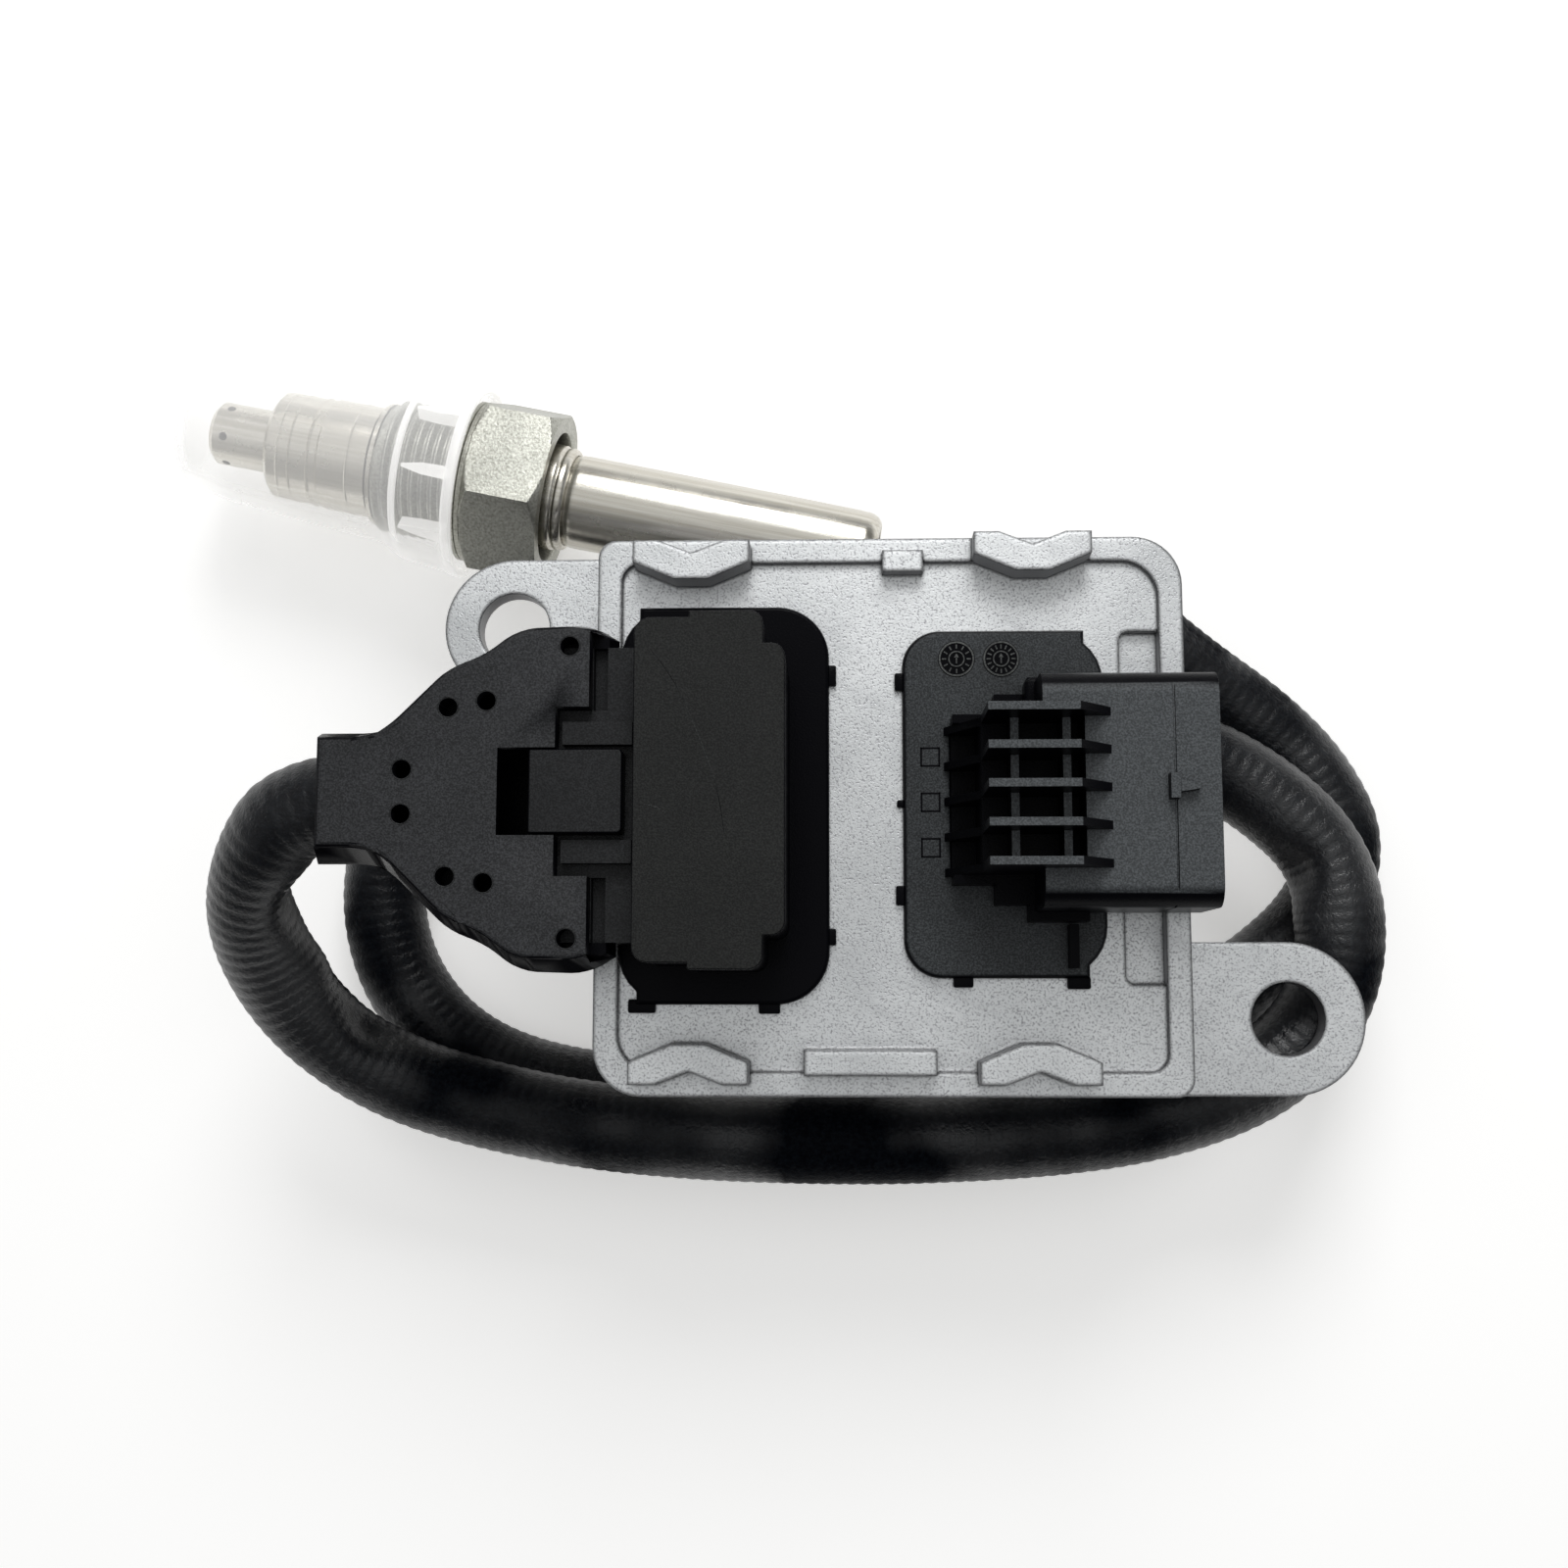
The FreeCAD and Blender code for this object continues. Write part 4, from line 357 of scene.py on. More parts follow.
def moulded_black(name, low, high, roughness, grain_height, above, steps=None):
    """Glass filled plastic: grained and dusty on its upper faces; elsewhere smooth, and painted
    near black there as shade.

    With steps, two heights in millimetres, what lies between them is painted black as shade and
    what lies over them is painted lighter, partly as the best lit and partly as the dustiest.
    """
    material, nodes, links, shader = new_material(name, low, 0.0, roughness,
                                                  Specular_IOR_Level=0.22)
    place = place_node(nodes, links)
    cloud = noise_value(nodes, links, place, 48, 5, 0.65)
    grain = noise_value(nodes, links, place, 4300, 2, 0.6)
    fine = mapped(nodes, links, grain, 0.40, 0.66, 0, 1)
    dull = mixed_color(nodes, links, fine, low, high)
    dusty = mixed_color(nodes, links, fine, scaled(low, 1.7), scaled(high, 1.6))
    grained = mixed_color(nodes, links, mapped(nodes, links, cloud, 0.35, 0.72, 0, 1), dull,
                          dusty)
    upper = facing_up(nodes, links, above)
    if steps:
        lowest, highest = steps
        over = height_above(nodes, links, highest - STEP_BLUR, highest + STEP_BLUR, 0, 1)
        under = height_above(nodes, links, lowest - STEP_BLUR, lowest + STEP_BLUR, 1, 0)
        # Painted shade: faces between the two heights stay black.
        either = calculated(nodes, links, "MAXIMUM", over, under)
        upper = calculated(nodes, links, "MULTIPLY", upper, either)
        # Partly painted highlight, partly dust: faces over the higher step are lighter.
        lit_and_dusty = mixed_color(nodes, links, fine, scaled(high, 0.9), scaled(high, 2.1))
        grained = mixed_color(nodes, links, over, grained, lit_and_dusty)
    # Painted shade: all faces but the upper ones take a near-black colour.
    links.new(mixed_color(nodes, links, upper, SHADED_SIDE_BLACK, grained),
              shader.inputs["Base Color"])
    # The side faces' reflection is weakened too, so that they stay dark.
    links.new(mapped(nodes, links, upper, 0, 1, 0.05, 0.22), shader.inputs["Specular IOR Level"])
    rough = mapped(nodes, links, cloud, 0.3, 0.7, roughness - 0.07, roughness + 0.07)
    mix = nodes.new("ShaderNodeMix")
    mix.data_type = "FLOAT"
    mix.inputs[2].default_value = 0.30
    links.new(upper, mix.inputs[0])
    links.new(rough, mix.inputs[3])
    links.new(mix.outputs[0], shader.inputs["Roughness"])
    add_bump(nodes, links, shader, [(grain, grain_height)])
    return material


def conduit_plastic():
    """Ribbed black tube with a cold sheen that comes and goes and breaks up into glints."""
    material, nodes, links, shader = new_material("conduit_plastic", (0.004, 0.005, 0.008), 0.0,
                                                  0.34, Specular_IOR_Level=0.5)
    place = place_node(nodes, links)
    cloud = noise_value(nodes, links, place, 75, 5, 0.65)
    grain = noise_value(nodes, links, place, 1500, 3, 0.7)
    links.new(mixed_color(nodes, links, mapped(nodes, links, grain, 0.4, 0.68, 0, 1),
                          (0.0018, 0.0020, 0.0036), (0.006, 0.008, 0.011)),
              shader.inputs["Base Color"])
    patch = noise_value(nodes, links, place, 26, 3, 0.55)
    links.new(mapped(nodes, links, patch, 0.43, 0.62, 0.02, 0.8),
              shader.inputs["Specular IOR Level"])
    links.new(mapped(nodes, links, cloud, 0.35, 0.65, 0.24, 0.44), shader.inputs["Roughness"])
    add_bump(nodes, links, shader, [(cloud, 0.45), (grain, 0.16)])
    return material


def turned_steel(name, light, dark, low, high):
    """Drawn or turned metal: fine streaks along the probe, which lies turned in the plan."""
    material, nodes, links, shader = new_material(name, light, 1.0, low)
    place = place_node(nodes, links, (30, 1500, 1500), -PROBE_TURN)
    lines = noise_value(nodes, links, place, 1.0, 4, 0.6)
    plain = place_node(nodes, links)
    cloud = noise_value(nodes, links, plain, 130, 4, 0.6)
    links.new(mixed_color(nodes, links, mapped(nodes, links, lines, 0.3, 0.7, 0, 1), dark, light),
              shader.inputs["Base Color"])
    links.new(mapped(nodes, links, cloud, 0.3, 0.7, low, high), shader.inputs["Roughness"])
    add_bump(nodes, links, shader, [(lines, 0.02)])
    return material


def sparkling_plate():
    """The gland nut's rough zinc-nickel plate with bright grains."""
    material, nodes, links, shader = new_material("plated_steel", (0.52, 0.52, 0.47), 1.0, 0.50)
    place = place_node(nodes, links)
    grain = noise_value(nodes, links, place, 2600, 3, 0.65)
    cloud = noise_value(nodes, links, place, 150, 4, 0.6)
    links.new(mixed_color(nodes, links, mapped(nodes, links, grain, 0.36, 0.66, 0, 1),
                          (0.29, 0.29, 0.255), (0.50, 0.50, 0.455)), shader.inputs["Base Color"])
    links.new(mapped(nodes, links, cloud, 0.3, 0.7, 0.34, 0.46), shader.inputs["Roughness"])
    add_bump(nodes, links, shader, [(grain, 0.04)])
    return material


def translucent_cap(name, plain, edge_on):
    """Milky polyethylene: it veils what is inside and lets light through, and a faint painted glow
    in its wall stands in for the light it scatters.
    """
    material, nodes, links, shader = new_material(name, (0.97, 0.965, 0.96), 0.0, 0.30)
    shader.inputs["Alpha"].default_value = plain
    # Painted light: a faint glow stands in for light scattered in the milky wall.
    shader.inputs["Emission Color"].default_value = WARM_WHITE
    shader.inputs["Emission Strength"].default_value = CAP_GLOW
    rim = nodes.new("ShaderNodeLayerWeight")
    rim.inputs["Blend"].default_value = 0.4
    place = place_node(nodes, links)
    cloud = noise_value(nodes, links, place, 90, 4, 0.6)
    edge = mapped(nodes, links, rim.outputs["Facing"], 0.15, 0.95, plain, edge_on)
    links.new(edge, shader.inputs["Alpha"])
    links.new(mapped(nodes, links, cloud, 0.3, 0.7, 0.22, 0.38), shader.inputs["Roughness"])
    add_bump(nodes, links, shader, [(cloud, 0.10)])
    return material


def speckled(name, color, second, metallic, roughness, scale, height):
    """A plain finish whose colour and relief vary with one noise."""
    material, nodes, links, shader = new_material(name, color, metallic, roughness)
    place = place_node(nodes, links)
    grain = noise_value(nodes, links, place, scale, 4, 0.65)
    links.new(mixed_color(nodes, links, mapped(nodes, links, grain, 0.3, 0.7, 0, 1),
                          color, second), shader.inputs["Base Color"])
    links.new(mapped(nodes, links, grain, 0.3, 0.7, roughness - 0.08, roughness + 0.08),
              shader.inputs["Roughness"])
    add_bump(nodes, links, shader, [(grain, height)])
    return material


def make_materials():
    return {
        "cast_aluminium": cast_aluminium(),
        "steel_plate": speckled("steel_plate", (0.42, 0.43, 0.44), (0.56, 0.57, 0.58), 1.0, 0.38,
                                700, 0.02),
        "plated_steel": sparkling_plate(),
        "stainless": turned_steel("stainless", (0.72, 0.70, 0.64), (0.50, 0.47, 0.40), 0.2, 0.32),
        # Power header: painted shade on its elbow and pockets between 17.4 and 30.5 mm, painted
        # lighter tops above.
        "black_plastic": moulded_black("black_plastic", (0.016, 0.018, 0.0193),
                                       (0.061, 0.066, 0.070), 0.44, 0.045, 16.55,
                                       steps=(17.4, 30.5)),
        # Near black all over: painted shade for sunk marks.
        "sunk_black": moulded_black("sunk_black", (0.003, 0.003, 0.004), (0.004, 0.004, 0.005),
                                    0.4, 0.02, ABOVE_ALL),
        "tower_plastic": moulded_black("tower_plastic", (0.0065, 0.0068, 0.0066),
                                       (0.021, 0.022, 0.021), 0.48, 0.04, 33.0),
        "cover_plastic": moulded_black("cover_plastic", (0.0155, 0.0160, 0.0172),
                                       (0.048, 0.0495, 0.053), 0.5, 0.04, 29.5),
        "plug_plastic": moulded_black("plug_plastic", (0.0075, 0.0078, 0.0084),
                                      (0.023, 0.024, 0.0255), 0.5, 0.04, 25.5),
        # Used for real scuffs and also for painted highlights round the peg holes.
        "scuffed_plastic": moulded_black("scuffed_plastic", (0.045, 0.047, 0.046),
                                         (0.11, 0.115, 0.112), 0.5, 0.04, 16.55),
        "conduit_plastic": conduit_plastic(),
        "seal_rubber": speckled("seal_rubber", (0.02, 0.02, 0.022), (0.035, 0.035, 0.038), 0.0,
                                0.6, 900, 0.03),
        "seal_silicone": speckled("seal_silicone", (0.46, 0.14, 0.05), (0.55, 0.18, 0.07), 0.0,
                                  0.5, 500, 0.02),
        "board": speckled("board", (0.02, 0.11, 0.045), (0.03, 0.15, 0.06), 0.0, 0.35, 260, 0.02),
        "chip": speckled("chip", (0.02, 0.02, 0.022), (0.035, 0.035, 0.037), 0.0, 0.55, 2200,
                         0.03),
        "can": speckled("can", (0.62, 0.63, 0.65), (0.72, 0.72, 0.74), 1.0, 0.3, 300, 0.01),
        "contact": speckled("contact", (0.70, 0.60, 0.38), (0.80, 0.72, 0.50), 1.0, 0.3, 600,
                            0.01),
        "ceramic": speckled("ceramic", (0.78, 0.76, 0.70), (0.86, 0.85, 0.81), 0.0, 0.5, 1200,
                            0.02),
        "talc": speckled("talc", (0.62, 0.59, 0.52), (0.72, 0.69, 0.62), 0.0, 0.85, 1800, 0.05),
        "cap_plastic": translucent_cap("cap_plastic", 0.20, 0.36),
        "cap_ribs": translucent_cap("cap_ribs", 0.46, 0.66),
    }


# Shapes

def link_mesh(name, mesh, material, body="unit"):
    piece = bpy.data.objects.new(name, mesh)
    bpy.context.collection.objects.link(piece)
    mesh.materials.clear()
    mesh.materials.append(MATERIALS[material])
    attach(piece, body)
    return piece


def smooth_by_angle(mesh, degrees):
    mesh.shade_smooth()
    mesh.set_sharp_from_angle(angle=math.radians(degrees))


def from_bmesh(name, shape, degrees=32):
    mesh = bpy.data.meshes.new(name)
    bmesh.ops.recalc_face_normals(shape, faces=shape.faces)
    shape.to_mesh(mesh)
    shape.free()
    smooth_by_angle(mesh, degrees)
    return mesh


def upright(edge):
    """True for a long edge that stands within about 15 degrees of plumb."""
    first, second = (vert.co for vert in edge.verts)
    span = second - first
    return abs(span.z) > 4 * MM and abs(span.z) > 0.96 * span.length


def top_at(level):
    """A test for the outer edges that lie at one level."""
    def fits(edge):
        return edge.is_convex and all(abs(vert.co.z - level * MM) < 0.02 * MM
                                      for vert in edge.verts)
    return fits


def outer_rim(edge):
    """True for an edge of the plug cover's outline at its top, not for its slot and holes."""
    hole_reach, slot_half, neck_x = 1.6, 6.5, -62.0
    if not top_at(PLUG_TOP)(edge):
        return False
    x, y, _ = (edge.verts[0].co + edge.verts[1].co) / 2 / MM
    if any(math.hypot(x - hole_x, y - hole_y) < hole_reach for hole_x, hole_y in PEG_HOLES):
        return False
    wall = min(edge.link_faces, key=lambda face: abs(face.normal.z))
    outward = wall.normal.y * (y - LINK_Y) > 0 or wall.normal.x < -0.9
    return outward and (abs(y - LINK_Y) > slot_half or x < neck_x)


def softened(node, width, segments=2, degrees=28, first=()):
    """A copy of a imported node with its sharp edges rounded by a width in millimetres.

    Each entry of first is a test, a width and a number of segments for edges that are rounded
    by another width before the rest.
    """
    source = frame["nodes"][node]
    shape = bmesh.new()
    shape.from_mesh(source.data)
    bmesh.ops.remove_doubles(shape, verts=shape.verts, dist=1e-6)
    bmesh.ops.dissolve_limit(shape, angle_limit=math.radians(0.6), verts=shape.verts,
                             edges=shape.edges, use_dissolve_boundaries=False)
    for fits, reach, steps in first:
        chosen = [edge for edge in shape.edges if edge.is_manifold and fits(edge)
                  and edge.calc_face_angle(0) > math.radians(degrees)]
        bmesh.ops.bevel(shape, geom=chosen, offset=reach * MM, offset_type="OFFSET",
                        segments=steps, profile=0.5, affect="EDGES", clamp_overlap=False)
    sharp = [edge for edge in shape.edges
             if edge.is_manifold and edge.calc_face_angle(0) > math.radians(degrees)]
    bmesh.ops.bevel(shape, geom=sharp, offset=width * MM, offset_type="OFFSET",
                    segments=segments, profile=0.5, affect="EDGES", clamp_overlap=True)
    return evened(from_bmesh(node + "_shape", shape, 40))


def evened(mesh):
    """The same mesh with its normals led by its large faces, so that flat faces look flat."""
    holder = bpy.data.objects.new("holder", mesh)
    bpy.context.collection.objects.link(holder)
    modifier = holder.modifiers.new("normals", "WEIGHTED_NORMAL")
    modifier.keep_sharp = True
    modifier.weight = 60
    depsgraph = bpy.context.evaluated_depsgraph_get()
    result = bpy.data.meshes.new_from_object(holder.evaluated_get(depsgraph),
                                             preserve_all_data_layers=True, depsgraph=depsgraph)
    bpy.data.objects.remove(holder)
    bpy.data.meshes.remove(mesh)
    return result


def to_probe(point):
    """From the probe's own axis (x towards its tail) to the model's frame, in metres."""
    x, y, z = point
    cosine, sine = math.cos(PROBE_TURN), math.sin(PROBE_TURN)
    return Vector((PROBE_ORIGIN[0] + x * cosine - y * sine,
                   PROBE_ORIGIN[1] + x * sine + y * cosine,
                   PROBE_ORIGIN[2] + z)) * MM


def round_probe(x, radius, angle):
    """A point round the probe's axis, at an angle from straight up, in metres."""
    return to_probe((x, -radius * math.sin(angle), radius * math.cos(angle)))


def skin(shape, rings):
    """Joins closed rings of points, each to the one after it, with four-sided faces."""
    for here, after in zip(rings, rings[1:]):
        for step in range(len(here)):
            other = (step + 1) % len(here)
            shape.faces.new((here[step], here[other], after[other], after[step]))


def turned(name, profile, steps=96, closed=True, radius_at=None, degrees=30):
    """Turns a half section (x, r) about the probe's axis; radius_at may reshape a point."""
    shape = bmesh.new()
    rings = []
    for step in range(steps):
        angle = 2 * math.pi * step / steps
        ring = []
        for x, radius in profile:
            reach = radius_at(x, radius, angle) if radius_at else radius
            ring.append(shape.verts.new(round_probe(x, reach, angle)))
        rings.append(ring)
    count = len(profile)
    for step in range(steps):
        here, after = rings[step], rings[(step + 1) % steps]
        for index in range(count if closed else count - 1):
            other = (index + 1) % count
            if profile[index][1] < 1e-6 and profile[other][1] < 1e-6:
                continue
            shape.faces.new((here[index], here[other], after[other], after[index]))
    bmesh.ops.remove_doubles(shape, verts=shape.verts, dist=1e-7)
    return from_bmesh(name, shape, degrees)


def rounded(profile, size, steps=3):
    """Rounds the inner corners of an open profile, so that turned edges catch the light."""
    result = [profile[0]]
    for before, corner, after in zip(profile, profile[1:], profile[2:]):
        here = Vector(corner)
        back, ahead = Vector(before) - here, Vector(after) - here
        reach = min(size, back.length * 0.45, ahead.length * 0.45)
        start = here + back.normalized() * reach
        end = here + ahead.normalized() * reach
        for step in range(steps + 1):
            share = step / steps
            first = start.lerp(here, share)
            second = here.lerp(end, share)
            result.append(tuple(first.lerp(second, share)))
    result.append(profile[-1])
    return result


def bevelled_box(shape, low, high, width, segments=2):
    """Adds a box with rounded edges to a mesh under construction; sizes in millimetres."""
    made = bmesh.ops.create_cube(shape, size=1.0)
    low, high = Vector(low), Vector(high)
    middle, size = (low + high) / 2, high - low
    for vert in made["verts"]:
        vert.co = Vector((middle[axis] + vert.co[axis] * size[axis] for axis in range(3))) * MM
    edges = {edge for vert in made["verts"] for edge in vert.link_edges}
    bmesh.ops.bevel(shape, geom=list(edges), offset=width * MM, segments=segments, profile=0.5,
                    affect="EDGES", clamp_overlap=True)


def prism(shape, corners, low, high, width=0.0, segments=2):
    """Adds a prism on a plan outline (counter-clockwise, millimetres)."""
    bottom = [shape.verts.new(Vector((x, y, low)) * MM) for x, y in corners]
    top = [shape.verts.new(Vector((x, y, high)) * MM) for x, y in corners]
    faces = [shape.faces.new(list(reversed(bottom))), shape.faces.new(top)]
    count = len(corners)
    for index in range(count):
        other = (index + 1) % count
        faces.append(shape.faces.new((bottom[index], bottom[other], top[other], top[index])))
    if width:
        edges = {edge for face in faces for edge in face.edges}
        bmesh.ops.bevel(shape, geom=list(edges), offset=width * MM, segments=segments,
                        profile=0.5, affect="EDGES", clamp_overlap=True)


# Conduit

def route_points():
    """The smooth line through the route, as Blender's own curve gives it."""
    curve = bpy.data.curves.new("route", "CURVE")
    curve.dimensions = "3D"
    curve.resolution_u = 24
    spline = curve.splines.new("NURBS")
    spline.points.add(len(ROUTE) - 1)
    for point, place in zip(spline.points, ROUTE):
        point.co = (*place, 1)
    spline.order_u = 3
    spline.use_endpoint_u = True
    holder = bpy.data.objects.new("route", curve)
    bpy.context.collection.objects.link(holder)
    bpy.context.view_layer.update()
    mesh = bpy.data.meshes.new_from_object(holder)
    points = [vert.co.copy() for vert in mesh.vertices]
    bpy.data.objects.remove(holder)
    bpy.data.meshes.remove(mesh)
    return points


def even_points(points, gap):
    """The same line with points a fixed distance apart."""
    result = [points[0].copy()]
    left = gap
    for here, after in zip(points, points[1:]):
        span = (after - here).length
        at = 0.0
        while span - at >= left:
            at += left
            result.append(here.lerp(after, at / span))
            left = gap
        left -= span - at
    result.append(points[-1].copy())
    return result


def ring_frames(points):
    """A tangent and two cross directions at each point, carried along without twist."""
    frames = []
    across = Vector((0, 0, 1))
    for index in range(len(points)):
        before = points[max(index - 1, 0)]
        after = points[min(index + 1, len(points) - 1)]
        tangent = (after - before).normalized()
        across = (across - tangent * across.dot(tangent)).normalized()
        frames.append((tangent, across, tangent.cross(across)))
    return frames


# Where the tube was bent by hand: centre, reach, and how far the wall moves inwards, in
# millimetres; it bulges where that is below nought
DENTS = [
    ((-80.6, -10.5, 14.0), 5.5, 2.6),
    ((-72.0, -27.5, 0.5), 4.6, 2.4),
    ((-78.0, -19.5, 6.0), 4.5, -1.3),
    ((57.6, -5.8, -4.0), 4.0, 2.2),
    ((57.2, -13.5, -4.0), 4.0, -1.0),
]


def dent_at(place):
    """How far the wall moves inwards at a place, in millimetres."""
    move = 0.0
    for centre, reach, depth in DENTS:
        distance = (place / MM - Vector(centre)).length
        if distance < reach * 2:
            move += depth * math.exp(-(distance / reach) ** 2 * 1.6)
    return move


def rib_height(along):
    """Depth below the crest: broad crests with narrow rounded grooves."""
    phase = along / RIB_PITCH % 1.0
    wave = 0.5 + 0.5 * math.cos(2 * math.pi * phase)
    return RIB_DEPTH * wave ** 2.2


def make_conduit():
    line = route_points()
    gap = RIB_PITCH / 5
    points = even_points(line, gap * MM)
    frames = ring_frames(points)
    sides = 28
    shape = bmesh.new()
    rings = []
    for index, (centre, (_, up, side)) in enumerate(zip(points, frames)):
        along = index * gap
        base = CONDUIT_RADIUS - rib_height(along)
        ring = []
        for step in range(sides):
            angle = 2 * math.pi * step / sides
            out = up * math.cos(angle) + side * math.sin(angle)
            wobble = 0.10 * noise.noise(Vector((along * 0.05, angle * 0.8, 3.0))) - WOBBLE_ROOM
            place = centre + out * (base * MM)
            radius = base + wobble - dent_at(place)
            ring.append(shape.verts.new(centre + out * (radius * MM)))
        rings.append(ring)
    skin(shape, rings)
    shape.faces.new(list(reversed(rings[0])))
    shape.faces.new(rings[-1])
    mesh = from_bmesh("conduit_ribbed", shape, 60)
    piece = link_mesh("conduit_ribbed", mesh, "conduit_plastic")
    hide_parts("conduit")
    length = sum((after - here).length for here, after in zip(line, line[1:]))
    tuple(line[0])


# Housing

def make_housing():
    mesh = softened("housing", 0.45, 3)
    piece = link_mesh("housing_casting", mesh, "cast_aluminium")
    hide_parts("housing")


# Connectors and plug

def flange_tabs(shape, places):
    """Small snap tabs that stand out from a flange's edge."""
    for x, y, half_x, half_y in places:
        bevelled_box(shape, (x - half_x, y - half_y, TAB_LOW), (x + half_x, y + half_y, TAB_TOP),
                     0.25)


def make_sensor_header():
    mesh = softened("sensor_header", 0.35, 3, first=[(top_at(FLANGE_Z), 0.6, 2)])
    piece = link_mesh("sensor_header_moulding", mesh, "tower_plastic")
    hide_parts("sensor_header")
    shape = bmesh.new()
    flange_tabs(shape, [(-33.4, -25.6, 1.8, 0.9), (-16.7, -25.7, 1.4, 0.9),
                        (-8.6, 18.1, 0.75, 1.4), (-8.7, -16.6, 0.75, 1.1)])
    link_mesh("sensor_header_tabs", from_bmesh("sensor_header_tabs", shape), "black_plastic")
    shape = bmesh.new()
    scratch(shape, [(-30.8, 18.3), (-29.2, 16.3), (-27.6, 13.9), (-26.0, 10.5), (-24.5, 6.9),
                    (-23.45, 4.1), (-22.5, 1.3), (-21.9, -1.7), (-21.5, -4.6)], 0.11)
    scratch(shape, [(-32.0, -1.1), (-31.0, -1.1), (-29.8, -1.4), (-28.6, -2.1)], 0.12)
    link_mesh("sensor_header_scuffs", from_bmesh("sensor_header_scuffs", shape), "scuffed_plastic")


def scratch(shape, line, half):
    """A hair-thin raised scuff along a line on the tall header's top."""
    sides = []
    for index, point in enumerate(line):
        before = Vector(line[max(index - 1, 0)])
        after = Vector(line[min(index + 1, len(line) - 1)])
        along = (after - before).normalized()
        across = Vector((-along.y, along.x))
        taper = half * (0.15 + 0.85 * math.sin(math.pi * (index + 0.3) / len(line)))
        low = Vector(point) - across * taper
        high = Vector(point) + across * taper
        sides.append([shape.verts.new(Vector((*low, TOWER_TOP - 0.02)) * MM),
                      shape.verts.new(Vector((*point, TOWER_TOP + 0.02)) * MM),
                      shape.verts.new(Vector((*high, TOWER_TOP - 0.02)) * MM)])
    for here, after in zip(sides, sides[1:]):
        for step in range(2):
            shape.faces.new((here[step], here[step + 1], after[step + 1], after[step]))


def circle(x, y, radius, sides=40):
    """Corners of a disc in plan, counter-clockwise."""
    angles = [2 * math.pi * step / sides for step in range(sides)]
    return [(x + radius * math.cos(angle), y + radius * math.sin(angle)) for angle in angles]


def low_ring(shape, x, y, section, sides=40):
    """Adds a ring on a flat top, turned about the upright from a section (radius, height)."""
    skin(shape, [[shape.verts.new(Vector((*corner, level)) * MM)
                  for corner in circle(x, y, radius, sides)] for radius, level in section])


def dial(shape, x, y, z, radius, ticks):
    """A moulder's date dial: a rim, a ring of short marks and an arrow, without figures."""
    for outer, wide in ((radius, 0.22), (radius * 0.46, 0.16)):
        inner = outer - wide
        low_ring(shape, x, y, ((outer, z), (outer, z + 0.14), (inner, z + 0.14), (inner, z)), 48)
    inner, outer, half = radius * 0.58, radius * 0.82, 0.09
    for step in range(ticks):
        angle = 2 * math.pi * step / ticks
        direction = Vector((math.cos(angle), math.sin(angle)))
        across = Vector((-direction.y, direction.x)) * half
        corners = [direction * inner - across, direction * outer - across,
                   direction * outer + across, direction * inner + across]
        prism(shape, [(x + c.x, y + c.y) for c in corners], z, z + 0.12)
    prism(shape, [(x - 0.09, y - 0.6), (x + 0.09, y - 0.6), (x + 0.09, y + 0.25),
                  (x - 0.09, y + 0.25)], z, z + 0.13)
    prism(shape, [(x - 0.32, y + 0.2), (x + 0.32, y + 0.2), (x, y + 0.75)], z, z + 0.13)


def frame_mark(shape, x, y, side, line, z, height):
    """A bare square drawn as four raised lines."""
    half = side / 2
    for low, high in (((x - half, y - half), (x + half, y - half + line)),
                      ((x - half, y + half - line), (x + half, y + half)),
                      ((x - half, y - half), (x - half + line, y + half)),
                      ((x + half - line, y - half), (x + half, y + half))):
        bevelled_box(shape, (*low, z), (*high, z + height), 0.05, 1)


def make_power_header():
    mesh = softened("power_header", 0.2, 2, first=[(top_at(FLANGE_Z), 0.7, 2)])
    piece = link_mesh("power_header_moulding", mesh, "black_plastic")
    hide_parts("power_header")
    dial_x, dial_y, dial_radius = (8.1, 14.0), 20.1, 2.35
    shape = bmesh.new()
    for middle, ticks in zip(dial_x, (12, 16)):
        dial(shape, middle, dial_y, FLANGE_Z, dial_radius, ticks)
    link_mesh("power_header_dials", from_bmesh("power_header_dials", shape), "scuffed_plastic")
    # Painted shade: the dials' faces and the square marks are drawn near black for their sunk,
    # shaded faces.
    shape = bmesh.new()
    for middle in dial_x:
        prism(shape, circle(middle, dial_y, dial_radius + 0.1), FLANGE_Z - 0.05, FLANGE_Z + 0.03)
    for middle in (7.0, 1.0, -5.0):
        frame_mark(shape, 4.5, middle, 2.6, 0.24, FLANGE_Z, 0.06)
    link_mesh("power_header_marks", from_bmesh("power_header_marks", shape), "sunk_black")
    shape = bmesh.new()
    flange_tabs(shape, [(0.7, 17.2, 0.8, 1.2), (0.7, 0.9, 0.6, 0.5), (0.7, -11.2, 0.8, 1.3),
                        (8.6, -22.4, 1.3, 0.8), (23.6, -22.6, 1.5, 0.8)])
    hook = [(16.3, 12.0), (19.2, 12.0), (19.2, 15.6), (17.6, 16.4), (16.3, 15.9)]
    prism(shape, hook, 20.0, 24.2, 0.5, 3)
    link_mesh("power_header_lugs", from_bmesh("power_header_lugs", shape), "black_plastic")


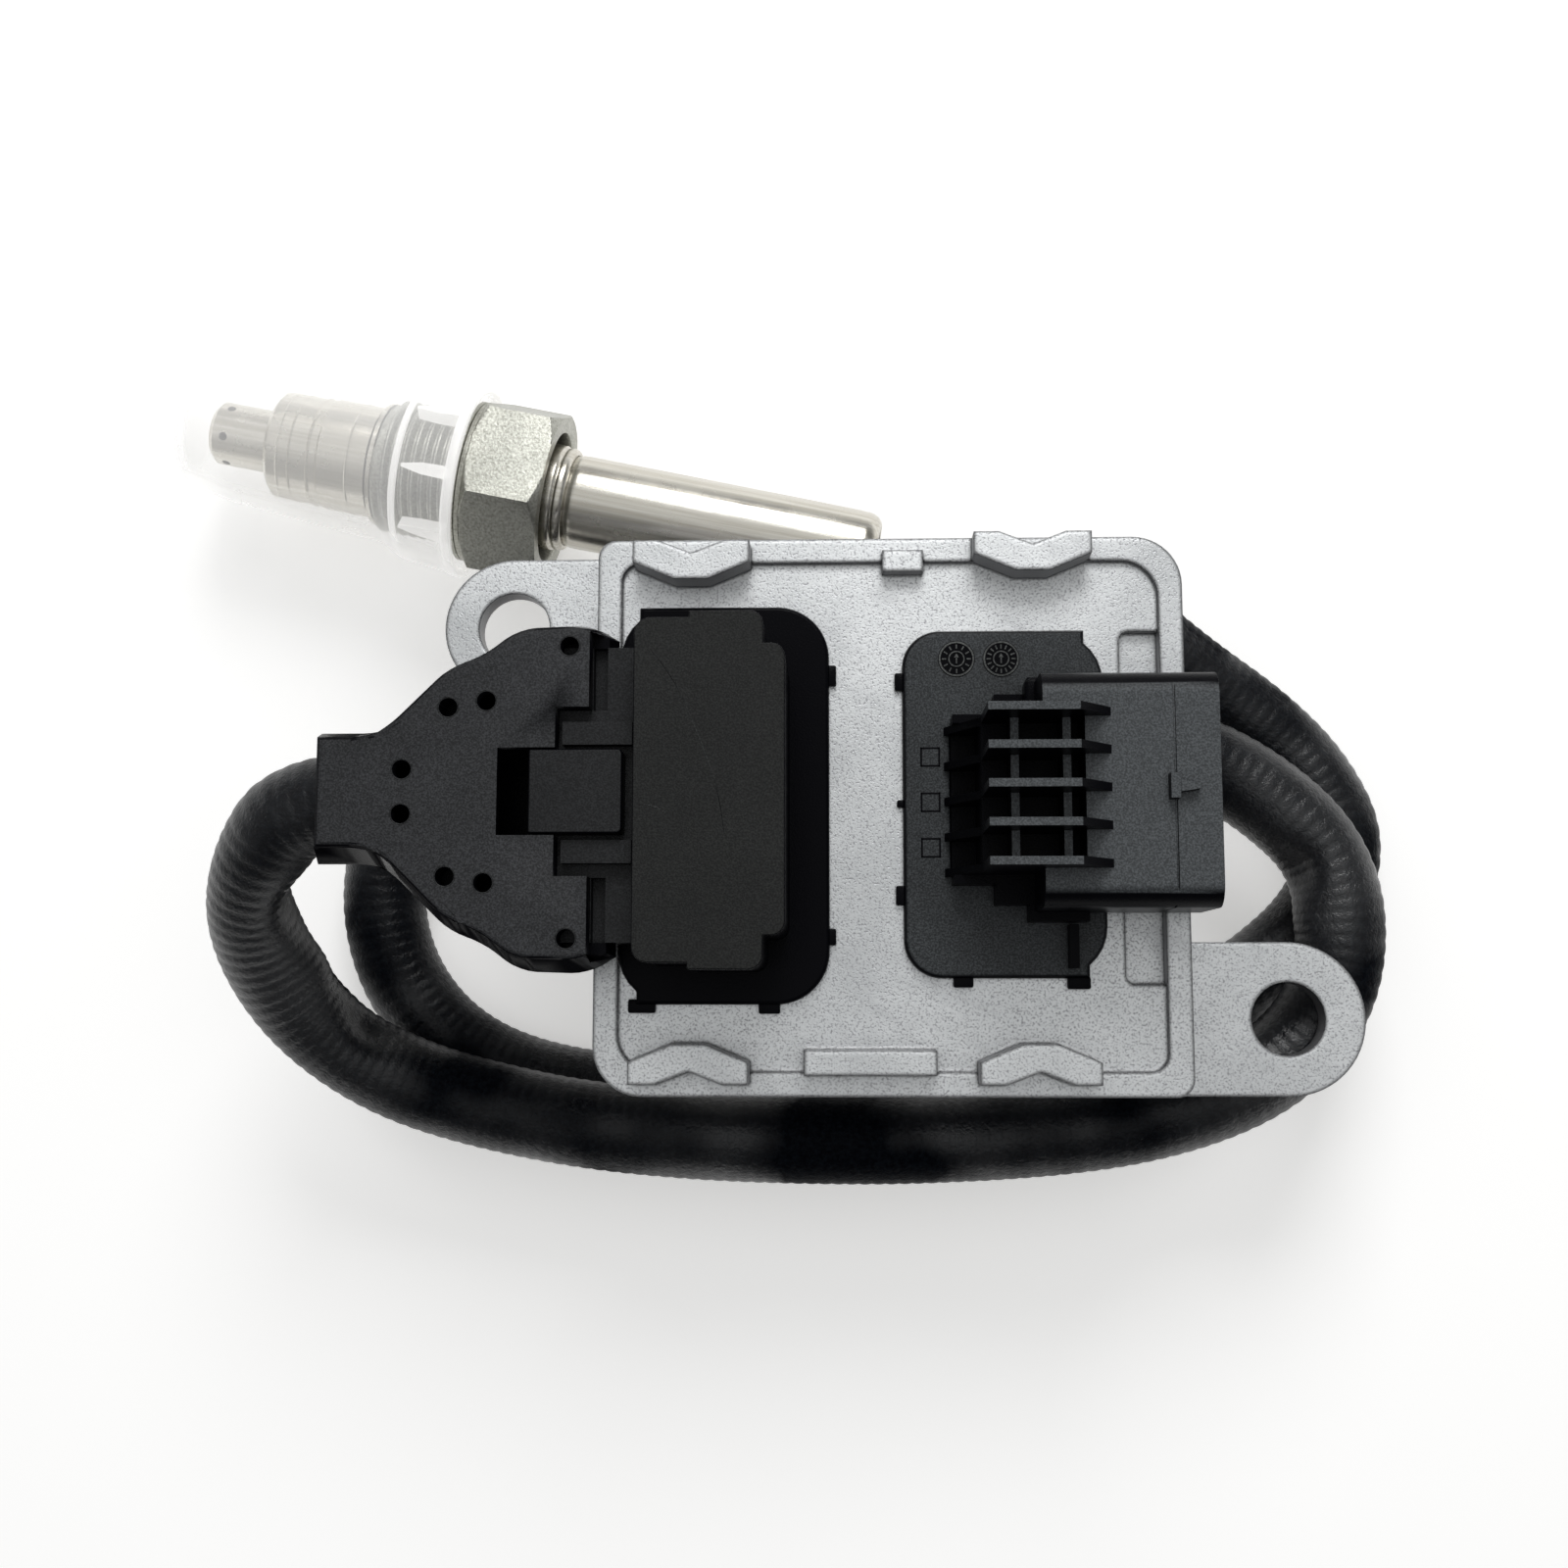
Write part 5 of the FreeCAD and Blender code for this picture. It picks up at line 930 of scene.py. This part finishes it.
def make_plug():
    for node, name, width, material, corner in (
        ("plug_cover_top", "plug_cover_upper", 0.35, "cover_plastic", 2.2),
        ("plug_cover_bottom", "plug_cover_lower", 0.35, "cover_plastic", 2.2),
        ("plug_body", "plug_body_moulding", 0.25, "plug_plastic", 0.3),
    ):
        mesh = softened(node, width, 2, 12, [(upright, corner, 4), (outer_rim, 0.55, 3)])
        piece = link_mesh(name, mesh, material)
        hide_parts(node)
    shape = bmesh.new()
    # Painted highlight: a hair-high ring of lighter plastic round each peg hole, for the light
    # caught on its edge.
    highlight_ring = ((1.42, PLUG_TOP - 0.02), (1.31, PLUG_TOP + 0.03), (1.2, PLUG_TOP - 0.02))
    for x, y in PEG_HOLES:
        low_ring(shape, x, y, highlight_ring)
    link_mesh("plug_cover_hole_highlights", from_bmesh("plug_cover_hole_highlights", shape), "scuffed_plastic")
    mesh = softened("plug_lock_slide", 0.3, 2, first=[(upright, 0.8, 3)])
    piece = link_mesh("plug_lock_moulding", mesh, "plug_plastic", "lock")
    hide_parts("plug_lock_slide")


# Probe

HEX_ACROSS = 24.0
HEX_LONG = 11.5
HEX_TURN = math.radians(10.0)
SHOULDER_LONG = 2.0
THREAD_LONG = 12.4
THREAD_PITCH = 1.5


def hexagon_radius(angle):
    """Distance from the axis to the hexagon's flat, seen at an angle."""
    sector = math.pi / 3
    offset = (angle + HEX_TURN + sector / 2) % sector - sector / 2
    return HEX_ACROSS / 2 / math.cos(offset)


def nut_radius(x, radius, angle):
    """Cuts the turned blank to the hexagon where the profile is wider than the flats."""
    if radius <= HEX_ACROSS / 2 - 0.25:
        return radius
    return min(radius, hexagon_radius(angle))


def make_nut():
    thread_end = -(HEX_LONG + SHOULDER_LONG + THREAD_LONG)
    profile = [(thread_end, 7.5), (thread_end, 9.0), (thread_end + 0.5, 9.05),
               (-HEX_LONG - SHOULDER_LONG, 9.05), (-HEX_LONG - 1.9, 9.2), (-HEX_LONG - 1.6, 9.3),
               (-HEX_LONG - 1.6, 11.75), (-HEX_LONG - 1.5, 12.0), (-HEX_LONG - 0.95, 12.0),
               (-HEX_LONG - 0.85, 11.8), (-HEX_LONG - 0.75, 12.0), (-HEX_LONG - 0.1, 12.05),
               (-HEX_LONG, 11.9), (-HEX_LONG, 12.2)]
    for step in range(7):
        profile.append((-HEX_LONG + 0.2 * step, 12.25 + 0.28 * step))
    for step in range(9):
        profile.append((-HEX_LONG + 1.5 + step * (HEX_LONG - 3.0) / 8, 14.2))
    for step in range(7):
        profile.append((-1.2 + 0.2 * step, 12.25 + 0.28 * (6 - step)))
    profile += [(0, 10.2), (-0.2, 9.75), (-0.6, 9.6), (-4.0, 9.6), (-4.0, 7.5)]
    mesh = turned("gland_nut_hexagon", profile, 288, True, nut_radius, 24)
    piece = link_mesh("gland_nut_hexagon", mesh, "plated_steel", "nut")
    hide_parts("gland_nut")
    make_thread(thread_end + 0.3, -HEX_LONG - 2.2)


def make_thread(start, end):
    """The M20 thread as one ridge that winds round the nut's shank."""
    steps = 72
    turns = (end - start) / THREAD_PITCH
    shape = bmesh.new()
    rings = []
    total = int(turns * steps)
    for index in range(total + 1):
        angle = 2 * math.pi * index / steps
        middle = start + THREAD_PITCH * index / steps
        fade = min(1.0, index / 14, (total - index) / 14)
        crest = 9.0 + 0.98 * max(fade, 0.02)
        section = [(middle - 0.70, 8.95), (middle - 0.12, crest), (middle + 0.12, crest),
                   (middle + 0.70, 8.95)]
        rings.append([shape.verts.new(round_probe(x, radius, angle)) for x, radius in section])
    skin(shape, rings)
    shape.faces.new(rings[0])
    shape.faces.new(list(reversed(rings[-1])))
    link_mesh("gland_nut_thread", from_bmesh("gland_nut_thread", shape, 50), "plated_steel",
              "nut")


def make_guards():
    outline = [
        (-52.9, 1.5), (-52.9, 3.9), (-52.1, 4.7), (-43.4, 4.7), (-43.1, 5.1), (-43.1, 7.2),
        (-42.4, 8.0), (-41.0, 8.0), (-40.8, 8.12), (-40.6, 8.0), (-39.2, 8.0), (-39.0, 8.15),
        (-38.8, 8.0), (-36.4, 8.0), (-36.15, 8.2), (-35.9, 8.0), (-34.9, 8.0), (-34.6, 8.3),
        (-30.3, 8.3), (-30.1, 8.42), (-29.9, 8.3), (-27.3, 8.3), (-27.3, 7.8), (-34.4, 7.8),
        (-42.0, 7.5), (-42.6, 6.8), (-42.6, 4.6), (-42.9, 4.2), (-52.0, 4.2), (-52.4, 3.7),
        (-52.4, 1.5),
    ]
    mesh = turned("guard_drawn", outline, 96)
    piece = link_mesh("guard_drawn", mesh, "stainless")
    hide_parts("guard_tube_outer")
    # Painted shade: dark discs stand for the guard's holes, whose insides lie in shade.
    shape = bmesh.new()
    for x, radius in ((-50.4, 4.7), (-41.9, 7.95)):
        for step in range(6):
            guard_hole(shape, x, radius, math.radians(20 + 60 * step))
    link_mesh("guard_hole_shades", from_bmesh("guard_hole_shades", shape), "chip")


def guard_hole(shape, x, radius, angle):
    """A small drilled hole, shown by a dark disc of painted shade on the guard's wall, for the
    shaded inside seen through its mouth.
    """
    sides = 16
    loops = []
    for size, lift in ((0.62, 0.0), (0.54, 0.05), (0.45, 0.04)):
        loop = []
        for step in range(sides):
            turn = 2 * math.pi * step / sides
            swing = angle + size * math.sin(turn) / radius
            loop.append(shape.verts.new(round_probe(x + size * math.cos(turn), radius + lift,
                                                    swing)))
        loops.append(loop)
    skin(shape, loops)
    shape.faces.new(loops[-1])


def make_sleeve():
    outline = [
        (-2.5, 6.2), (-2.5, 6.8), (3.0, 6.8), (3.3, 6.95), (4.0, 7.0), (20.0, 6.95),
        (40.0, 6.85), (45.8, 6.8), (46.4, 6.72), (46.8, 6.75), (47.6, 6.6), (48.3, 6.25),
        (48.8, 5.7), (49.0, 5.2), (48.9, 4.95), (48.4, 4.9), (47.4, 6.1), (46.0, 6.2),
    ]
    mesh = turned("sleeve_drawn", outline, 96)
    piece = link_mesh("sleeve_drawn", mesh, "stainless")
    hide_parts("probe_sleeve")
    bead = rounded([(-1.7, 6.85), (-1.7, 7.5), (-1.2, 7.9), (0.6, 7.9), (0.9, 7.5), (1.2, 7.7),
                    (2.0, 7.7), (2.5, 7.3), (2.5, 6.85)], 0.3)
    piece = link_mesh("crimp_bead", turned("crimp_bead", bead, 96), "stainless")
    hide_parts("crimp_ring")


def make_grommet():
    outline = [(41.0, 0), (41.0, 6.1), (47.0, 6.1), (48.4, 4.8), (49.0, 3.1), (54.0, 4.05),
               (54.3, 3.9), (54.6, 4.2), (59.0, 5.1), (59.3, 4.9), (59.6, 5.2), (64.0, 6.1),
               (64.3, 5.9), (64.6, 6.2), (69.0, 7.15), (69.9, 7.2), (70.5, 6.9), (70.5, 0)]
    mesh = turned("grommet_moulded", outline, 64)
    piece = link_mesh("grommet_moulded", mesh, "seal_rubber")
    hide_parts("probe_grommet")


def make_cap():
    outer = [(-57.3, 0), (-57.3, 5.6), (-56.9, 7.3), (-55.6, 8.5), (-49.0, 9.9), (-36.0, 10.9),
             (-25.8, 11.5), (-24.0, 11.9), (-21.8, 13.2), (-20.6, 13.6), (-14.2, 14.2),
             (-13.6, 14.55), (-12.2, 14.6), (-12.0, 14.4)]
    inner = [(-12.0, 13.5), (-14.0, 13.2), (-20.4, 12.4), (-21.8, 12.0), (-24.2, 10.8),
             (-25.8, 10.3), (-36.0, 9.7), (-49.0, 8.7), (-55.0, 7.5), (-56.0, 6.2), (-56.1, 0)]
    profile = rounded(outer + inner, 0.5)
    mesh = turned("cap_moulded", profile, 96, False)
    piece = link_mesh("cap_moulded", mesh, "cap_plastic", "cap")
    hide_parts("transport_cap")
    shape = bmesh.new()
    for step in range(8):
        add_fin(shape, math.radians(12 + 45 * step))
    link_mesh("cap_fins", from_bmesh("cap_fins", shape), "cap_ribs", "cap")
    for name, ring in (
        ("cap_mouth", [(-13.7, 13.5), (-13.7, 14.1), (-13.3, 14.4), (-12.3, 14.4), (-12.15, 13.7)]),
        ("cap_shoulder", [(-22.2, 12.1), (-21.7, 12.9), (-21.0, 13.2), (-20.9, 12.7)]),
    ):
        link_mesh(name, turned(name, ring, 96), "cap_ribs", "cap")


def add_fin(shape, angle):
    """A wedge on the cap's inner wall that grips the nut's thread."""
    spread = 0.16
    sections = [(-20.6, 10.3, 12.5, spread * 0.3), (-17.5, 10.2, 12.8, spread),
                (-13.9, 10.25, 13.2, spread * 1.1)]
    rings = []
    for x, low, high, half in sections:
        ring = []
        for swing, radius in ((-half / 6, low), (half / 6, low), (half / 2.4, high),
                              (-half / 2.4, high)):
            ring.append(shape.verts.new(round_probe(x, radius, angle + swing)))
        rings.append(ring)
    skin(shape, rings)
    shape.faces.new(rings[0])
    shape.faces.new(list(reversed(rings[-1])))


def dress_nodes():
    """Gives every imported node, seen or closed in, its slot's procedural material."""
    for entry in frame["record"]["subparts"]:
        node = frame["nodes"][entry["node"]]
        material = MATERIALS[entry["material_slot"]]
        for index in range(len(node.material_slots)):
            node.material_slots[index].material = material


make_camera()
MATERIALS = make_materials()
make_conduit()
make_floor()
make_light()
dress_nodes()
make_housing()
make_sensor_header()
make_power_header()
make_plug()
make_nut()
make_guards()
make_sleeve()
make_grommet()
make_cap()
bpy.context.scene.view_settings.view_transform = "Standard"
